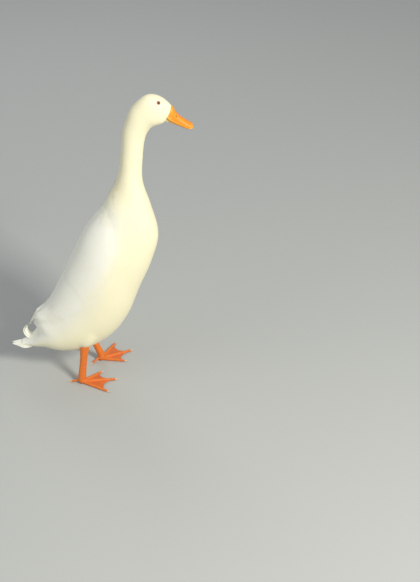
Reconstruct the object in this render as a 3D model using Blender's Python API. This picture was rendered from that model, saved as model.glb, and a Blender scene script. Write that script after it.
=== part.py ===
"""White Indian runner drake, a life-size still figure made of separate solid pieces.

The drake stands on both feet, the right one a step behind the left, with its body held steeply,
its neck upright and its bill tipped down. Lengths are in metres. While it is built, +X is the way
it faces, +Y is its left and z = 0 is the floor; stand_on_origin then slides the whole figure
level, until its bounding box stands over the origin.
"""

import math
import random

import bmesh
import bpy
import numpy as np
from mathutils import Matrix, Vector

GAP = 0.0003  # clearance between pieces that touch
SIDES = {"left": 1, "right": -1}

# Cross-sections of the body, tail to bill: back line (x, z), front line (x, z), half width,
# where it is widest on the way from back (0) to front (1), and how square it is (2 is an ellipse)
SECTIONS = {
    "tail tip": ((-0.1690, 0.0735), (-0.1690, 0.0705), 0.009, 0.50, 2.0),
    "tail end": ((-0.1500, 0.0770), (-0.1490, 0.0705), 0.010, 0.50, 2.0),
    "tail middle": ((-0.1370, 0.0840), (-0.1350, 0.0690), 0.016, 0.50, 2.0),
    "tail base": ((-0.1245, 0.0950), (-0.1190, 0.0690), 0.024, 0.50, 2.0),
    "rump": ((-0.1100, 0.1165), (-0.0970, 0.0690), 0.034, 0.50, 2.0),
    "vent": ((-0.0990, 0.1385), (-0.0710, 0.0625), 0.043, 0.52, 2.0),
    "hips": ((-0.0800, 0.1705), (-0.0300, 0.0635), 0.052, 0.54, 2.0),
    "belly": ((-0.0500, 0.2295), (0.0340, 0.0950), 0.060, 0.54, 2.0),
    "keel": ((-0.0230, 0.2885), (0.0750, 0.1475), 0.063, 0.52, 2.0),
    "flank": ((-0.0030, 0.3340), (0.1020, 0.2150), 0.061, 0.50, 2.0),
    "shoulder": ((0.0200, 0.3725), (0.1270, 0.2755), 0.056, 0.48, 2.0),
    "breast": ((0.0420, 0.4145), (0.1410, 0.3375), 0.046, 0.48, 2.0),
    "neck base": ((0.0585, 0.4470), (0.1290, 0.3925), 0.034, 0.50, 2.0),
    "lower neck": ((0.0675, 0.4785), (0.1135, 0.4485), 0.0255, 0.50, 2.0),
    "upper neck": ((0.0725, 0.5175), (0.1145, 0.5030), 0.0215, 0.50, 2.0),
    "throat": ((0.0810, 0.5725), (0.1225, 0.5505), 0.0205, 0.50, 2.0),
    "nape": ((0.0985, 0.6105), (0.1325, 0.5665), 0.0215, 0.50, 2.1),
    "crown": ((0.1300, 0.6320), (0.1440, 0.5725), 0.0215, 0.52, 2.4),
    "brow": ((0.1515, 0.6270), (0.1520, 0.5750), 0.0190, 0.52, 2.4),
    "bill base": ((0.1712, 0.6105), (0.1582, 0.5775), 0.0128, 0.55, 2.2),
}

# Cross-sections of the bill: culmen (x, z), mouth line (x, z), half width, depth of the lower bill
BILL = {
    "base": ((0.1710, 0.6100), (0.1625, 0.5884), 0.0116, 0.0056),
    "nostril": ((0.1795, 0.5971), (0.1735, 0.5807), 0.0108, 0.0044),
    "middle": ((0.1907, 0.5858), (0.1865, 0.5741), 0.0100, 0.0034),
    "spoon": ((0.2029, 0.5775), (0.1985, 0.5691), 0.0110, 0.0027),
    "nail": ((0.2095, 0.5730), (0.2080, 0.5662), 0.0092, 0.0020),
    "tip": ((0.2128, 0.5683), (0.2124, 0.5650), 0.0042, 0.0010),
}
NOSTRIL_PLACE, NOSTRIL_TURN = 30, 52  # hundredths of the way along the bill, degrees up from its side
NOSTRIL_SIZE = (0.0027, 0.0013, 0.0015)  # half length, half height and depth

EYE = (0.1482, 0.0102, 0.6220)
EYE_RADIUS = 0.0054
EYE_AXIS = (0.15, 1.0, 0.30)  # which way the left eye looks
LID_RADIUS, LID_THICKNESS = 0.0039, 0.0008

# Folded wing over the torso, tip to shoulder: distance from the rump, its upper and lower edge
# in degrees round the body from the back line, and the height of both edges over the torso
WING = np.array(
    [
        (0.0085, 3, 10, 0.0240, 0.0200),
        (0.0190, 2.5, 27, 0.0215, 0.0150),
        (0.0300, 2, 37, 0.0170, 0.0090),
        (0.0400, 2, 43, 0.0130, 0.0060),
        (0.0573, 2, 50, 0.0105, 0.0048),
        (0.0757, 2, 55.5, 0.0103, 0.0042),
        (0.1203, 2, 65.5, 0.0106, 0.0040),
        (0.1569, 3, 70, 0.0108, 0.0040),
        (0.1920, 5, 77, 0.0102, 0.0040),
        (0.2278, 8, 83, 0.0092, 0.0038),
        (0.2605, 12, 85, 0.0084, 0.0034),
        (0.2836, 17, 81, 0.0076, 0.0030),
        (0.3000, 24, 72, 0.0060, 0.0026),
        (0.3130, 35, 60, 0.0030, 0.0020),
    ]
)
WING_SUNK = -0.002  # its inner side under the plumage of the torso, before the two are cut clear
WING_PAD_END = 0.050  # how far back the solid part under the feathers reaches
WING_PAD_GRID = (11, 6)  # points along and across the pad
FEATHERS_OVER_PAD = 0.0018  # room that the feathers take over it
WING_ROWS = [  # distance of the roots from the rump, length, how many side by side, outline
    (0.3020, 0.040, 4, "round"),
    (0.2800, 0.046, 5, "round"),
    (0.2540, 0.052, 5, "round"),
    (0.2260, 0.064, 6, "round"),
    (0.1900, 0.090, 5, "flight"),
    (0.1420, 0.092, 5, "flight"),
    (0.0940, 0.088, 4, "pointed"),
]
WING_SHORTENING = 0.2  # of the feathers at its lower edge
WING_EDGE_DROP = 0.35  # how far its height falls at both edges

# Feathers
VANE_THICKNESS = 0.0006
VANE_LAP = 0.62  # half the width, for the distance to the next one
VANE_LEAN = 0.0006  # how much higher one edge lies than the middle
VANE_LIFTS = (-0.0012, 0.0021)  # height of root and tip over what they grow from
VANE_VARIATION = 0.03  # of the lengths
FEATHER_SHAPES = {  # parts of the length, and how wide the feather is there
    "round": ((0.0, 0.45, 0.80, 1.0), (0.65, 1.0, 0.85, 0.30)),
    "flight": ((0.0, 0.30, 0.62, 0.87, 1.0), (0.60, 0.92, 1.0, 0.72, 0.16)),
    "pointed": ((0.0, 0.30, 0.60, 0.85, 1.0), (0.70, 1.0, 0.85, 0.48, 0.08)),
}

# Tail feathers of one side, middle to outermost: distance from the middle at the root and at the
# tip, length, and height over the fan's middle plane
TAIL_FEATHERS = [
    (0.0022, 0.0060, 0.0590, 0.0000),
    (0.0046, 0.0092, 0.0535, -0.0018),
    (0.0070, 0.0122, 0.0480, -0.0027),
    (0.0094, 0.0150, 0.0415, -0.0036),
]
TAIL_ROOT = (-0.1120, 0.0815)  # (x, z)
TAIL_SLOPE = -0.19  # height lost along it, for its length
TAIL_HALF_WIDTH = 0.0048
TAIL_SIDES_APART = (0.0004, 0.0030)  # the right middle feather lies lower, and is shorter
TAIL_COVERTS = [  # distance of root and tip from the rump, degrees between two, how many a side
    (-0.0030, -0.0350, 27, 2),
    (-0.0170, -0.0500, 26, 2),
]
UNDER_COVERTS = (-0.0060, -0.0440, 25, 2)
COVERT_LIFTS = (-0.0014, 0.0014)
UNDER_COVERT_LIFTS = (-0.0014, 0.0008)

# Curled feathers over a drake's tail
CURL_CENTRE = (-0.1264, 0.1068)
CURLS = [  # distance to the left, radius at the root, degrees of curl
    (0.0000, 0.0200, 262),
    (0.0050, 0.0178, 246),
    (-0.0050, 0.0172, 234),
]
CURL_START = -50  # degrees from level
CURL_HALF_WIDTH = 0.0036
CURL_CUP = 0.55  # how much the radius grows across its width
CURL_TIGHTENING = 0.38
CURL_WIDTHS = ((0, 0.15, 0.6, 1), (0.7, 1, 1, 0.3))  # parts of its length, and its width there

FEET = {  # hock (x, y, z), ankle (x, y), and heading in degrees, turned out to its own side
    "left": ((-0.0190, 0.0380, 0.0880), (0.0105, 0.0395), 27),
    "right": ((-0.0145, -0.0405, 0.0900), (-0.0235, -0.0445), -8),
}
ANKLE_HEIGHT = 0.0145
SHANK_RINGS = [(0.0, 0.0074, 0.0062), (0.2, 0.0066, 0.0054), (0.55, 0.0063, 0.0050), (1.0, 0.0088, 0.0062)]
THIGH_HEIGHT = 0.060
THIGH_LEAN = (0.022, 0.000)
THIGH_RINGS = [  # part of the way up, half length, half width, shift outwards
    (0.00, 0.0100, 0.0080, 0.0000),
    (0.15, 0.0155, 0.0118, 0.0008),
    (0.45, 0.0205, 0.0150, 0.0022),
    (0.75, 0.0175, 0.0120, 0.0022),
    (1.00, 0.0080, 0.0055, 0.0000),
]
TOES = {  # turn away from the middle toe to its own side, length, radius at the root and at the tip
    "inner": (-35, 0.050, 0.0037, 0.0021),
    "middle": (0, 0.068, 0.0040, 0.0022),
    "outer": (39, 0.062, 0.0038, 0.0021),
    "hind": (-166.5, 0.0225, 0.0028, 0.0017),
}
CLAW_LENGTH = 0.0085
KNUCKLE = 0.09  # how much a toe swells at its joints
HIND_TOE_HEIGHT = 0.0085  # of its middle line at the root
ANKLE_RINGS = [  # height, half length, half width
    (ANKLE_HEIGHT, 0.0074, 0.0062),
    (0.0105, 0.0080, 0.0068),
    (0.0060, 0.0078, 0.0072),
    (0.0016, 0.0058, 0.0058),
]
WEB_THICKNESS = 0.0013
WEB_HEIGHT = 0.0012  # of its underside over the floor
WEB_ENDS = (0.12, 0.90)  # where it starts and ends along its toes
WEB_NOTCH = 0.16  # how far the front edge of a web curves in between two toes

COLOURS = {
    "plumage": ((0.93, 0.91, 0.83), 0.85),
    "bill": ((0.95, 0.50, 0.07), 0.45),
    "leg": ((0.90, 0.36, 0.08), 0.55),
    "claw": ((0.80, 0.66, 0.50), 0.45),
    "eye": ((0.09, 0.03, 0.02), 0.08),
}


def smooth(keys, values, at):
    """Values at the places asked for on a smooth curve through the key values."""
    keys, values, at = (np.asarray(x, float) for x in (keys, values, at))
    slopes = np.gradient(values, keys, axis=0)
    i = np.clip(np.searchsorted(keys, at, side="right") - 1, 0, len(keys) - 2)
    span = keys[i + 1] - keys[i]
    f = (at - keys[i]) / span
    if values.ndim > 1:
        f, span = f[..., None], span[..., None]
    return (
        (1 + 2 * f) * (1 - f) ** 2 * values[i]
        + f * (1 - f) ** 2 * span * slopes[i]
        + f * f * (3 - 2 * f) * values[i + 1]
        - f * f * (1 - f) * span * slopes[i + 1]
    )


def path_lengths(points):
    """Distance of each point of a path from its start."""
    return np.concatenate([[0], np.cumsum(np.linalg.norm(np.diff(points, axis=0), axis=1))])


SECTION_ROWS = np.array([[*back, *front, *shape] for back, front, *shape in SECTIONS.values()])
SECTION_PLACES = path_lengths((SECTION_ROWS[:, 0:2] + SECTION_ROWS[:, 2:4]) / 2)
SECTION_PLACES -= SECTION_PLACES[list(SECTIONS).index("rump")]
PLACE = dict(zip(SECTIONS, SECTION_PLACES))  # distance of each section along the body from the rump


def body_points(along, around, lift=0.0):
    """Points on the plumage: along the body from the rump, around it from the back line (0) to the
    front line (180 degrees) on the left side, and lifted off it along its own outward direction."""
    along, around = np.broadcast_arrays(np.asarray(along, float), np.asarray(around, float))
    rows = smooth(SECTION_PLACES, SECTION_ROWS, along)
    back, front = rows[..., 0:2], rows[..., 2:4]
    width, widest, square = rows[..., 4], rows[..., 5], rows[..., 6]
    middle = back + (front - back) * widest[..., None]
    turn = np.radians(around)
    towards = np.where(np.cos(turn)[..., None] > 0, back - middle, middle - front)
    height = np.sign(np.cos(turn)) * np.abs(np.cos(turn)) ** (2 / square)
    across = np.sign(np.sin(turn)) * np.abs(np.sin(turn)) ** (2 / square)
    profile = middle + towards * height[..., None]
    points = np.stack([profile[..., 0], width * across, profile[..., 1]], axis=-1)
    if np.any(lift):
        points = points + body_normals(along, around) * np.asarray(lift, float)[..., None]
    return points


def body_normals(along, around):
    """Outward directions of the plumage."""
    step, turn = 0.0005, 0.5
    forward = body_points(along + step, around) - body_points(along - step, around)
    sideways = body_points(along, around + turn) - body_points(along, around - turn)
    normals = np.cross(forward, sideways)
    return normals / np.linalg.norm(normals, axis=-1, keepdims=True)


def mesh_object(name, bm):
    """A new object that holds a finished bmesh."""
    mesh = bpy.data.meshes.new(name)
    bm.to_mesh(mesh)
    bm.free()
    obj = bpy.data.objects.new(name, mesh)
    bpy.context.scene.collection.objects.link(obj)
    return obj


def loft(name, rings):
    """A closed body through rings of points, with a flat cap at each end."""
    bm = bmesh.new()
    loops = [[bm.verts.new(point) for point in ring] for ring in rings]
    for first, second in zip(loops, loops[1:]):
        for a, b, c, d in zip(first, first[1:] + first[:1], second[1:] + second[:1], second):
            bm.faces.new((a, b, c, d))
    for end in (loops[0], loops[-1]):
        bm.faces.new(end)
    bmesh.ops.recalc_face_normals(bm, faces=bm.faces)
    return mesh_object(name, bm)


def ellipse(centre, half_length, half_width, sides):
    """A level ring of points round a centre."""
    turns = np.arange(sides) * 2 * np.pi / sides
    flat = np.stack([half_length * np.cos(turns), half_width * np.sin(turns), 0 * turns], axis=-1)
    return np.asarray(centre) + flat


def mirrored(points, side):
    """The same points on the named side of the body."""
    return np.asarray(points) * (1, SIDES[side], 1)


def take_mesh(obj):
    """Apply an object's modifiers."""
    depsgraph = bpy.context.evaluated_depsgraph_get()
    mesh = bpy.data.meshes.new_from_object(obj.evaluated_get(depsgraph))
    obj.modifiers.clear()
    obj.data = mesh


def boolean(obj, operation, others):
    """Join other closed objects to this one, or cut them from it, in one step, and drop them."""
    group = bpy.data.collections.new("others")
    bpy.context.scene.collection.children.link(group)
    for other in others:
        group.objects.link(other)
    modifier = obj.modifiers.new(operation.lower(), "BOOLEAN")
    modifier.operation = operation
    modifier.operand_type = "COLLECTION"
    modifier.collection = group
    take_mesh(obj)
    bpy.data.collections.remove(group)
    for other in others:
        bpy.data.objects.remove(other)
    keep_largest(obj)


def keep_largest(obj):
    """Keep only the largest closed surface of an object."""
    bm = bmesh.new()
    bm.from_mesh(obj.data)
    waiting, bodies = set(bm.verts), []
    while waiting:
        body, edge_of_body = set(), [waiting.pop()]
        while edge_of_body:
            vert = edge_of_body.pop()
            body.add(vert)
            near = {edge.other_vert(vert) for edge in vert.link_edges} & waiting
            waiting -= near
            edge_of_body.extend(near)
        bodies.append(body)
    largest = max(bodies, key=len)
    bmesh.ops.delete(bm, geom=[v for v in bm.verts if v not in largest], context="VERTS")
    bm.to_mesh(obj.data)
    bm.free()


def swollen(obj, margin):
    """A copy of an object with its surface moved outwards by a margin."""
    bm = bmesh.new()
    bm.from_mesh(obj.data)
    bm.normal_update()
    moves = [(vert, vert.normal * margin * vert.calc_shell_factor()) for vert in bm.verts]
    for vert, move in moves:
        vert.co += move
    return mesh_object(obj.name + "_swollen", bm)


def cut_clear(obj, neighbours):
    """Cut an object back until it is clear of its neighbours."""
    boolean(obj, "DIFFERENCE", [swollen(other, GAP) for other in neighbours])


def body_length(name, start, end, rings, sides):
    """One length of the body, from one section to another, cut square to it and set back by half
    the clearance at each end."""
    turns = np.arange(sides) * 360 / sides
    places = np.linspace(PLACE[start], PLACE[end], rings)
    loops = body_points(places[:, None], turns[None, :])
    for end_loop, next_loop in ((loops[0], loops[1]), (loops[-1], loops[-2])):
        across = np.cross(end_loop[sides // 4] - end_loop[0], end_loop[sides // 2] - end_loop[0])
        across /= np.linalg.norm(across)
        inward = np.sign(np.dot(next_loop.mean(axis=0) - end_loop.mean(axis=0), across))
        end_loop += across * inward * GAP / 2
    return loft(name, loops)


def eye_direction(side):
    """Which way the eye on this side looks."""
    return Vector(mirrored(EYE, side)), Vector(mirrored(EYE_AXIS, side)).normalized()


def make_head():
    """The head from throat to bill, with a ring of lid round each eye and a socket under it."""
    head = body_length("head", "throat", "bill base", 14, 24)
    lids = []
    for side in SIDES:
        centre, axis = eye_direction(side)
        reach = math.sqrt(EYE_RADIUS**2 - LID_RADIUS**2)
        bpy.ops.mesh.primitive_torus_add(
            location=centre + axis * reach,
            rotation=axis.to_track_quat("Z", "X").to_euler(),
            major_segments=14,
            minor_segments=6,
            major_radius=LID_RADIUS + LID_THICKNESS / 2,
            minor_radius=LID_THICKNESS,
        )
        lids.append(bpy.context.object)
        freeze(lids[-1])
    boolean(head, "UNION", lids)
    eyes = [make_eye(side) for side in SIDES]
    cut_clear(head, eyes)
    return [head, *eyes]


def freeze(obj):
    """Move an object's placing into its mesh."""
    bpy.context.view_layer.update()
    obj.data.transform(obj.matrix_world)
    obj.matrix_world = Matrix.Identity(4)


def make_eye(side):
    """One eyeball."""
    bm = bmesh.new()
    bmesh.ops.create_uvsphere(bm, u_segments=14, v_segments=9, radius=EYE_RADIUS)
    centre, axis = eye_direction(side)
    turn = axis.to_track_quat("Z", "X").to_matrix().to_4x4()
    bmesh.ops.transform(bm, matrix=Matrix.Translation(centre) @ turn, verts=bm.verts)
    return mesh_object(f"eye_{side}", bm)


def bill_rows(start, end, count):
    """Bill sections at even steps from one named section to another, with the way up of each."""
    rows = np.array([[*culmen, *mouth, *size] for culmen, mouth, *size in BILL.values()])
    places = path_lengths(rows[:, 2:4])
    names = list(BILL)
    steps = np.linspace(places[names.index(start)], places[names.index(end)], count)
    return smooth(places, rows, steps)


def upper_bill_ring(row, sides):
    """A ring round the upper bill: over its arched top, then back under its slightly hollow palate."""
    culmen, mouth, width = row[0:2], row[2:4], row[4]
    turns = np.linspace(0, np.pi, sides)
    across = width * np.sign(np.cos(turns)) * np.abs(np.cos(turns)) ** 0.8
    height = np.abs(np.sin(turns)) ** 0.85
    palate = np.linspace(-0.6, 0.6, 3) * width
    across = np.concatenate([across, palate])
    height = np.concatenate([height, [0.04, 0.08, 0.04]])
    profile = mouth + (culmen - mouth) * height[:, None]
    return np.stack([profile[:, 0], across, profile[:, 1]], axis=-1)


def lower_bill_ring(row, sides):
    """A ring round the lower bill: its flat top just under the mouth line, its rounded keel below."""
    culmen, mouth, width, depth = row[0:2], row[2:4], row[4] * 0.9, row[5]
    up = (culmen - mouth) / np.linalg.norm(culmen - mouth)
    turns = np.linspace(0, np.pi, sides)
    across = np.concatenate([width * np.cos(turns), np.linspace(-0.5, 0.5, 3) * width])
    height = np.concatenate([-depth * np.sin(turns) ** 0.7, [0, 0, 0]]) - GAP
    profile = mouth + up * height[:, None]
    return np.stack([profile[:, 0], across, profile[:, 1]], axis=-1)


def make_bill():
    """Upper and lower bill, parted along the mouth line, with a dent for each nostril."""
    upper_rings = [upper_bill_ring(row, 13) for row in bill_rows("base", "tip", 11)]
    lower_rings = [lower_bill_ring(row, 9) for row in bill_rows("base", "nail", 9)]
    face = upper_rings[0]
    forward = np.cross(face[6] - face[0], face[12] - face[0])
    forward *= GAP / 2 / np.linalg.norm(forward) * np.sign(forward[0])
    upper_rings[0] += forward
    lower_rings[0] += forward
    upper = loft("bill_upper", upper_rings)
    lower = loft("bill_lower", lower_rings)
    boolean(upper, "DIFFERENCE", [nostril_cutter(side) for side in SIDES])
    return [upper, lower]


def nostril_cutter(side):
    """An egg-shaped cutter for one nostril, set into the side of the upper bill."""
    rows = bill_rows("base", "tip", 101)
    row, row_ahead = rows[NOSTRIL_PLACE], rows[NOSTRIL_PLACE + 5]
    here = upper_bill_point(row, NOSTRIL_TURN)
    ahead = upper_bill_point(row_ahead, NOSTRIL_TURN)
    above = upper_bill_point(row, NOSTRIL_TURN + 8)
    along = Vector(ahead - here).normalized()
    out = Vector(above - here).cross(along).normalized()
    up = out.cross(along)
    turn = Matrix((along, up, out)).transposed().to_4x4()
    bm = bmesh.new()
    bmesh.ops.create_uvsphere(bm, u_segments=10, v_segments=6, radius=1)
    bmesh.ops.transform(
        bm, matrix=Matrix.Translation(here) @ turn @ Matrix.Diagonal((*NOSTRIL_SIZE, 1)), verts=bm.verts
    )
    if side == "right":
        bmesh.ops.scale(bm, vec=(1, -1, 1), verts=bm.verts)
        bmesh.ops.reverse_faces(bm, faces=bm.faces)
    return mesh_object("nostril", bm)


def upper_bill_point(row, turn):
    """A point on the left side of the upper bill's arch, so many degrees up from the mouth line."""
    culmen, mouth, width = row[0:2], row[2:4], row[4]
    turn = math.radians(turn)
    profile = mouth + (culmen - mouth) * math.sin(turn) ** 0.85
    return np.array([profile[0], width * math.cos(turn) ** 0.8, profile[1]])


def wing_height(rows, across):
    """Height of the wing's outer side over the torso, part of the way from its upper edge (0) to
    its lower edge (1), with both edges rounded down."""
    upper, lower = rows[..., 3], rows[..., 4]
    edge = np.abs(2 * across - 1) ** 5
    return (upper + (lower - upper) * across**2) * (1 - WING_EDGE_DROP * edge)


def wing_place(along, across, lift):
    """Points over the solid pad of the folded left wing: along the body from the rump, across from
    the wing's upper edge (0) to its lower edge (1), and lifted off the pad."""
    along, across = np.broadcast_arrays(along, across)
    rows = smooth(WING[:, 0], WING, np.clip(along, WING[0, 0], WING[-1, 0]))
    around = rows[..., 1] + (rows[..., 2] - rows[..., 1]) * across
    outline = wing_height(rows, np.clip(across, 0, 1))
    return body_points(along, around, np.maximum(outline - FEATHERS_OVER_PAD, outline / 2) + lift)


def make_wing(side):
    """One folded wing: a solid pad under rows of lapping feathers, from shoulder to tip."""
    rows, columns = WING_PAD_GRID
    along = np.linspace(WING_PAD_END, WING[-1, 0], rows)[:, None]
    across = np.linspace(0, 0.98, columns)[None, :]
    table = smooth(WING[:, 0], WING, along)
    outer = wing_place(along, across, 0.0)
    around = table[..., 1] + (table[..., 2] - table[..., 1]) * across
    inner = body_points(along, around, WING_SUNK + 0 * around)
    wing = loft(f"wing_{side}", mirrored(np.concatenate([outer, inner[:, ::-1]], axis=1), side))
    draw = random.Random(side)
    feathers = []
    for root, length, count, shape in WING_ROWS:
        for across in (np.arange(count) + 0.5) / count:
            reach = length * (1 - WING_SHORTENING * across) * (1 + draw.uniform(-1, 1) * VANE_VARIATION)
            ends = ((root, across), (root - reach, across))
            feathers.append(vane(wing_place, ends, VANE_LAP / count, VANE_LIFTS, VANE_LEAN, shape, side))
    boolean(wing, "UNION", feathers)
    return wing


def vane(place, ends, half_width, lifts, lean, shape, side="left"):
    """One feather as a thin closed blade over a surface: it climbs from its sunk root to its free
    tip, and leans across its width, so that it laps over the next one."""
    parts, widths = (np.array(values)[:, None] for values in FEATHER_SHAPES[shape])
    along, across = (start + (end - start) * parts for start, end in zip(*ends))
    columns = widths * (-1.0, 0.0, 1.0)
    lift = lifts[0] + (lifts[1] - lifts[0]) * parts + lean * columns
    half_thickness = VANE_THICKNESS / 2 * np.where(parts < 1, 1, 0.6)
    along = along + 0 * columns
    across = across + half_width * columns
    outer, inner = (place(along, across, lift + way * half_thickness) for way in (1, -1))
    return sheet("vane", mirrored(outer, side), mirrored(inner, side))


def tail_place(along, across, lift):
    """Points over the flat fan of the tail: along it backwards from its root, across it to the left."""
    along, across, lift = np.broadcast_arrays(along, across, lift)
    return np.stack([TAIL_ROOT[0] - along, across, TAIL_ROOT[1] + TAIL_SLOPE * along + lift], axis=-1)


def make_tail_fan():
    """The tail feathers, the middle pair on top and the others stepped down to both sides."""
    feathers = []
    lower, shorter = TAIL_SIDES_APART
    for side in SIDES:
        for start, end, length, lift in TAIL_FEATHERS:
            if side == "right" and lift == 0:
                lift -= lower + VANE_THICKNESS
                length -= shorter
            ends = ((0, start), (length, end))
            feathers.append(vane(tail_place, ends, TAIL_HALF_WIDTH, (lift, lift), 0, "pointed", side))
    return feathers


def make_covert_row(row, middle, lifts, outward):
    """A row of short feathers across the tail, the middle one on top."""
    root, tip, step, count = row
    ends = ((root, middle), (tip, middle))
    feathers = [vane(body_points, ends, VANE_LAP * step, (lifts[0], lifts[1] + VANE_THICKNESS), 0, "round")]
    for side in SIDES:
        for i in range(1, count + 1):
            around = middle + outward * step * i
            ends = ((root, around), (tip, around))
            lean = outward * VANE_LEAN
            feathers.append(vane(body_points, ends, VANE_LAP * step, lifts, lean, "round", side))
    return feathers


def make_curl(offset, radius, sweep):
    """One feather curled up and forwards over the tail, like a scroll."""
    part = np.linspace(0, 1, 10)[:, None]
    turns = np.radians(CURL_START - sweep * part)
    half_width = CURL_HALF_WIDTH * np.interp(part, *CURL_WIDTHS)
    across = half_width * (-1.0, 0.0, 1.0)
    faces = []
    for way in (1, -1):
        reach = radius * (1 - CURL_TIGHTENING * part) + CURL_CUP * across + way * VANE_THICKNESS / 2
        x = CURL_CENTRE[0] + reach * np.cos(turns)
        z = CURL_CENTRE[1] + reach * np.sin(turns)
        faces.append(np.stack([x, offset + across, z], axis=-1))
    return sheet("curl", *faces)


def make_tail():
    """The tail: its fleshy base, a fan of lapping feathers, coverts over and under it, and the
    drake's curls."""
    tail = body_length("tail", "tail end", "rump", 7, 18)
    feathers = make_tail_fan()
    for row in TAIL_COVERTS:
        feathers += make_covert_row(row, 0, COVERT_LIFTS, 1)
    feathers += make_covert_row(UNDER_COVERTS, 180, UNDER_COVERT_LIFTS, -1)
    feathers += [make_curl(*curl) for curl in CURLS]
    boolean(tail, "UNION", feathers)
    return tail


def make_shank(side):
    """The bare scaled leg between thigh and foot."""
    hock, ankle, _ = FEET[side]
    bottom = np.array([*ankle, ANKLE_HEIGHT + GAP])
    top = np.array([*hock[:2], hock[2] - GAP])
    rings = [
        ellipse(bottom + (top - bottom) * up, length, width, 10)
        for up, length, width in smooth(
            [ring[0] for ring in SHANK_RINGS], SHANK_RINGS, np.linspace(0, 1, 6)
        )
    ]
    return loft(f"shank_{side}", rings)


def make_thigh(side):
    """The feathered thigh, a drop that sits in the belly's plumage over the shank."""
    hock = np.array(FEET[side][0])
    rows = smooth([ring[0] for ring in THIGH_RINGS], THIGH_RINGS, np.linspace(0, 1, 7))
    rings = []
    for up, length, width, shift in rows:
        lean = np.array([THIGH_LEAN[0], THIGH_LEAN[1], THIGH_HEIGHT]) * up
        rings.append(ellipse(hock + lean + (0, SIDES[side] * shift, 0), length, width, 14))
    return loft(f"thigh_{side}", rings)


def toe_frame(side, toe):
    """Where a toe starts, which way it points, and its sizes."""
    _, ankle, heading = FEET[side]
    turn, length, root_radius, tip_radius = TOES[toe]
    angle = math.radians(SIDES[side] * (heading + turn))
    return np.array(ankle), np.array([math.cos(angle), math.sin(angle)]), length, root_radius, tip_radius


def toe_centre(side, toe, along):
    """A point on a toe's middle line, part of the way from its root (0) to its tip (1)."""
    start, direction, length, root_radius, tip_radius = toe_frame(side, toe)
    radius = root_radius + (tip_radius - root_radius) * along
    height = radius * 0.8
    if toe == "hind":
        height = HIND_TOE_HEIGHT + (radius * 0.9 - HIND_TOE_HEIGHT) * along
    else:
        height += 0.002 * max(0.0, 1 - along / 0.12)
    return np.array([*(start + direction * length * along), height]), radius


def make_toe(side, toe, knuckles):
    """A toe with knuckles and a flat sole at floor level, open at its tip for the claw."""
    direction = toe_frame(side, toe)[1]
    sideways = np.array([-direction[1], direction[0], 0])
    turns = np.radians(22.5 + 45 * np.arange(8))
    rings = []
    for along in np.linspace(0, 1, 2 * knuckles + 1):
        centre, radius = toe_centre(side, toe, along)
        radius *= 1 + KNUCKLE * math.cos(2 * math.pi * knuckles * along)
        ring = centre + np.outer(np.cos(turns), sideways) * radius + np.outer(np.sin(turns), (0, 0, radius))
        floor = 0.0 if along > 0.1 else 0.001
        ring[:, 2] = np.maximum(ring[:, 2], floor)
        rings.append(ring)
    return loft(f"toe_{side}_{toe}", rings)


def make_web(side, first, second):
    """The thin skin between two front toes, its front edge curved in."""
    rows, columns = 5, 5
    grid = np.zeros((rows, columns, 3))
    for i, along in enumerate(np.linspace(*WEB_ENDS, rows)):
        for j, across in enumerate(np.linspace(0, 1, columns)):
            back = 1 - WEB_NOTCH * 4 * across * (1 - across) * (i / (rows - 1))
            a, _ = toe_centre(side, first, along * back)
            b, _ = toe_centre(side, second, along * back)
            grid[i, j] = a + (b - a) * across
            grid[i, j, 2] = WEB_HEIGHT + WEB_THICKNESS / 2
    lift = np.array([0, 0, WEB_THICKNESS / 2])
    return sheet(f"web_{side}_{first}", grid + lift, grid - lift)


def sheet(name, outer, inner):
    """A closed thin body between two grids of points, each square split alike on both of them."""
    bm = bmesh.new()
    rows, columns = outer.shape[:2]
    tops, bottoms = ([[bm.verts.new(p) for p in row] for row in grid] for grid in (outer, inner))
    for i in range(rows - 1):
        for j in range(columns - 1):
            for grid in (tops, bottoms):
                a, b, c, d = grid[i][j], grid[i][j + 1], grid[i + 1][j + 1], grid[i + 1][j]
                bm.faces.new((a, b, c))
                bm.faces.new((a, c, d))
    rim = [(0, j) for j in range(columns)] + [(i, columns - 1) for i in range(1, rows)]
    rim += [(rows - 1, j) for j in range(columns - 2, -1, -1)] + [(i, 0) for i in range(rows - 2, 0, -1)]
    for (i, j), (k, l) in zip(rim, rim[1:] + rim[:1]):
        bm.faces.new((tops[i][j], tops[k][l], bottoms[k][l], bottoms[i][j]))
    bmesh.ops.recalc_face_normals(bm, faces=bm.faces)
    return mesh_object(name, bm)


def make_foot(side):
    """Ankle, three webbed front toes and the small hind toe, joined into one body."""
    ankle = FEET[side][1]
    rings = [ellipse((*ankle, height), length, width, 12) for height, length, width in ANKLE_RINGS]
    foot = loft(f"foot_{side}", rings)
    pieces = [make_toe(side, toe, 1 if toe == "hind" else 3) for toe in TOES]
    pieces += [make_web(side, "inner", "middle"), make_web(side, "middle", "outer")]
    boolean(foot, "UNION", pieces)
    return foot


def make_claw(side, toe):
    """A claw on the tip of a toe, curving down towards the floor."""
    _, direction, _, _, tip_radius = toe_frame(side, toe)
    centre, _ = toe_centre(side, toe, 1.0)
    forward = np.array([*direction, 0])
    sideways = np.array([-direction[1], direction[0], 0])
    turns = np.radians(60 * np.arange(6))
    rings = []
    for along in np.linspace(0, 1, 4):
        radius = tip_radius * 0.85 * (1 - 0.85 * along**1.3)
        drop = (centre[2] - 0.0008) * along**2 * 0.75
        middle = centre + forward * (GAP + CLAW_LENGTH * along) - (0, 0, drop)
        ring = middle + np.outer(np.cos(turns), sideways) * radius + np.outer(np.sin(turns), (0, 0, radius))
        ring[:, 2] = np.maximum(ring[:, 2], 0.0004)
        rings.append(ring)
    return loft(f"claw_{side}_{toe}", rings)


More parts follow.
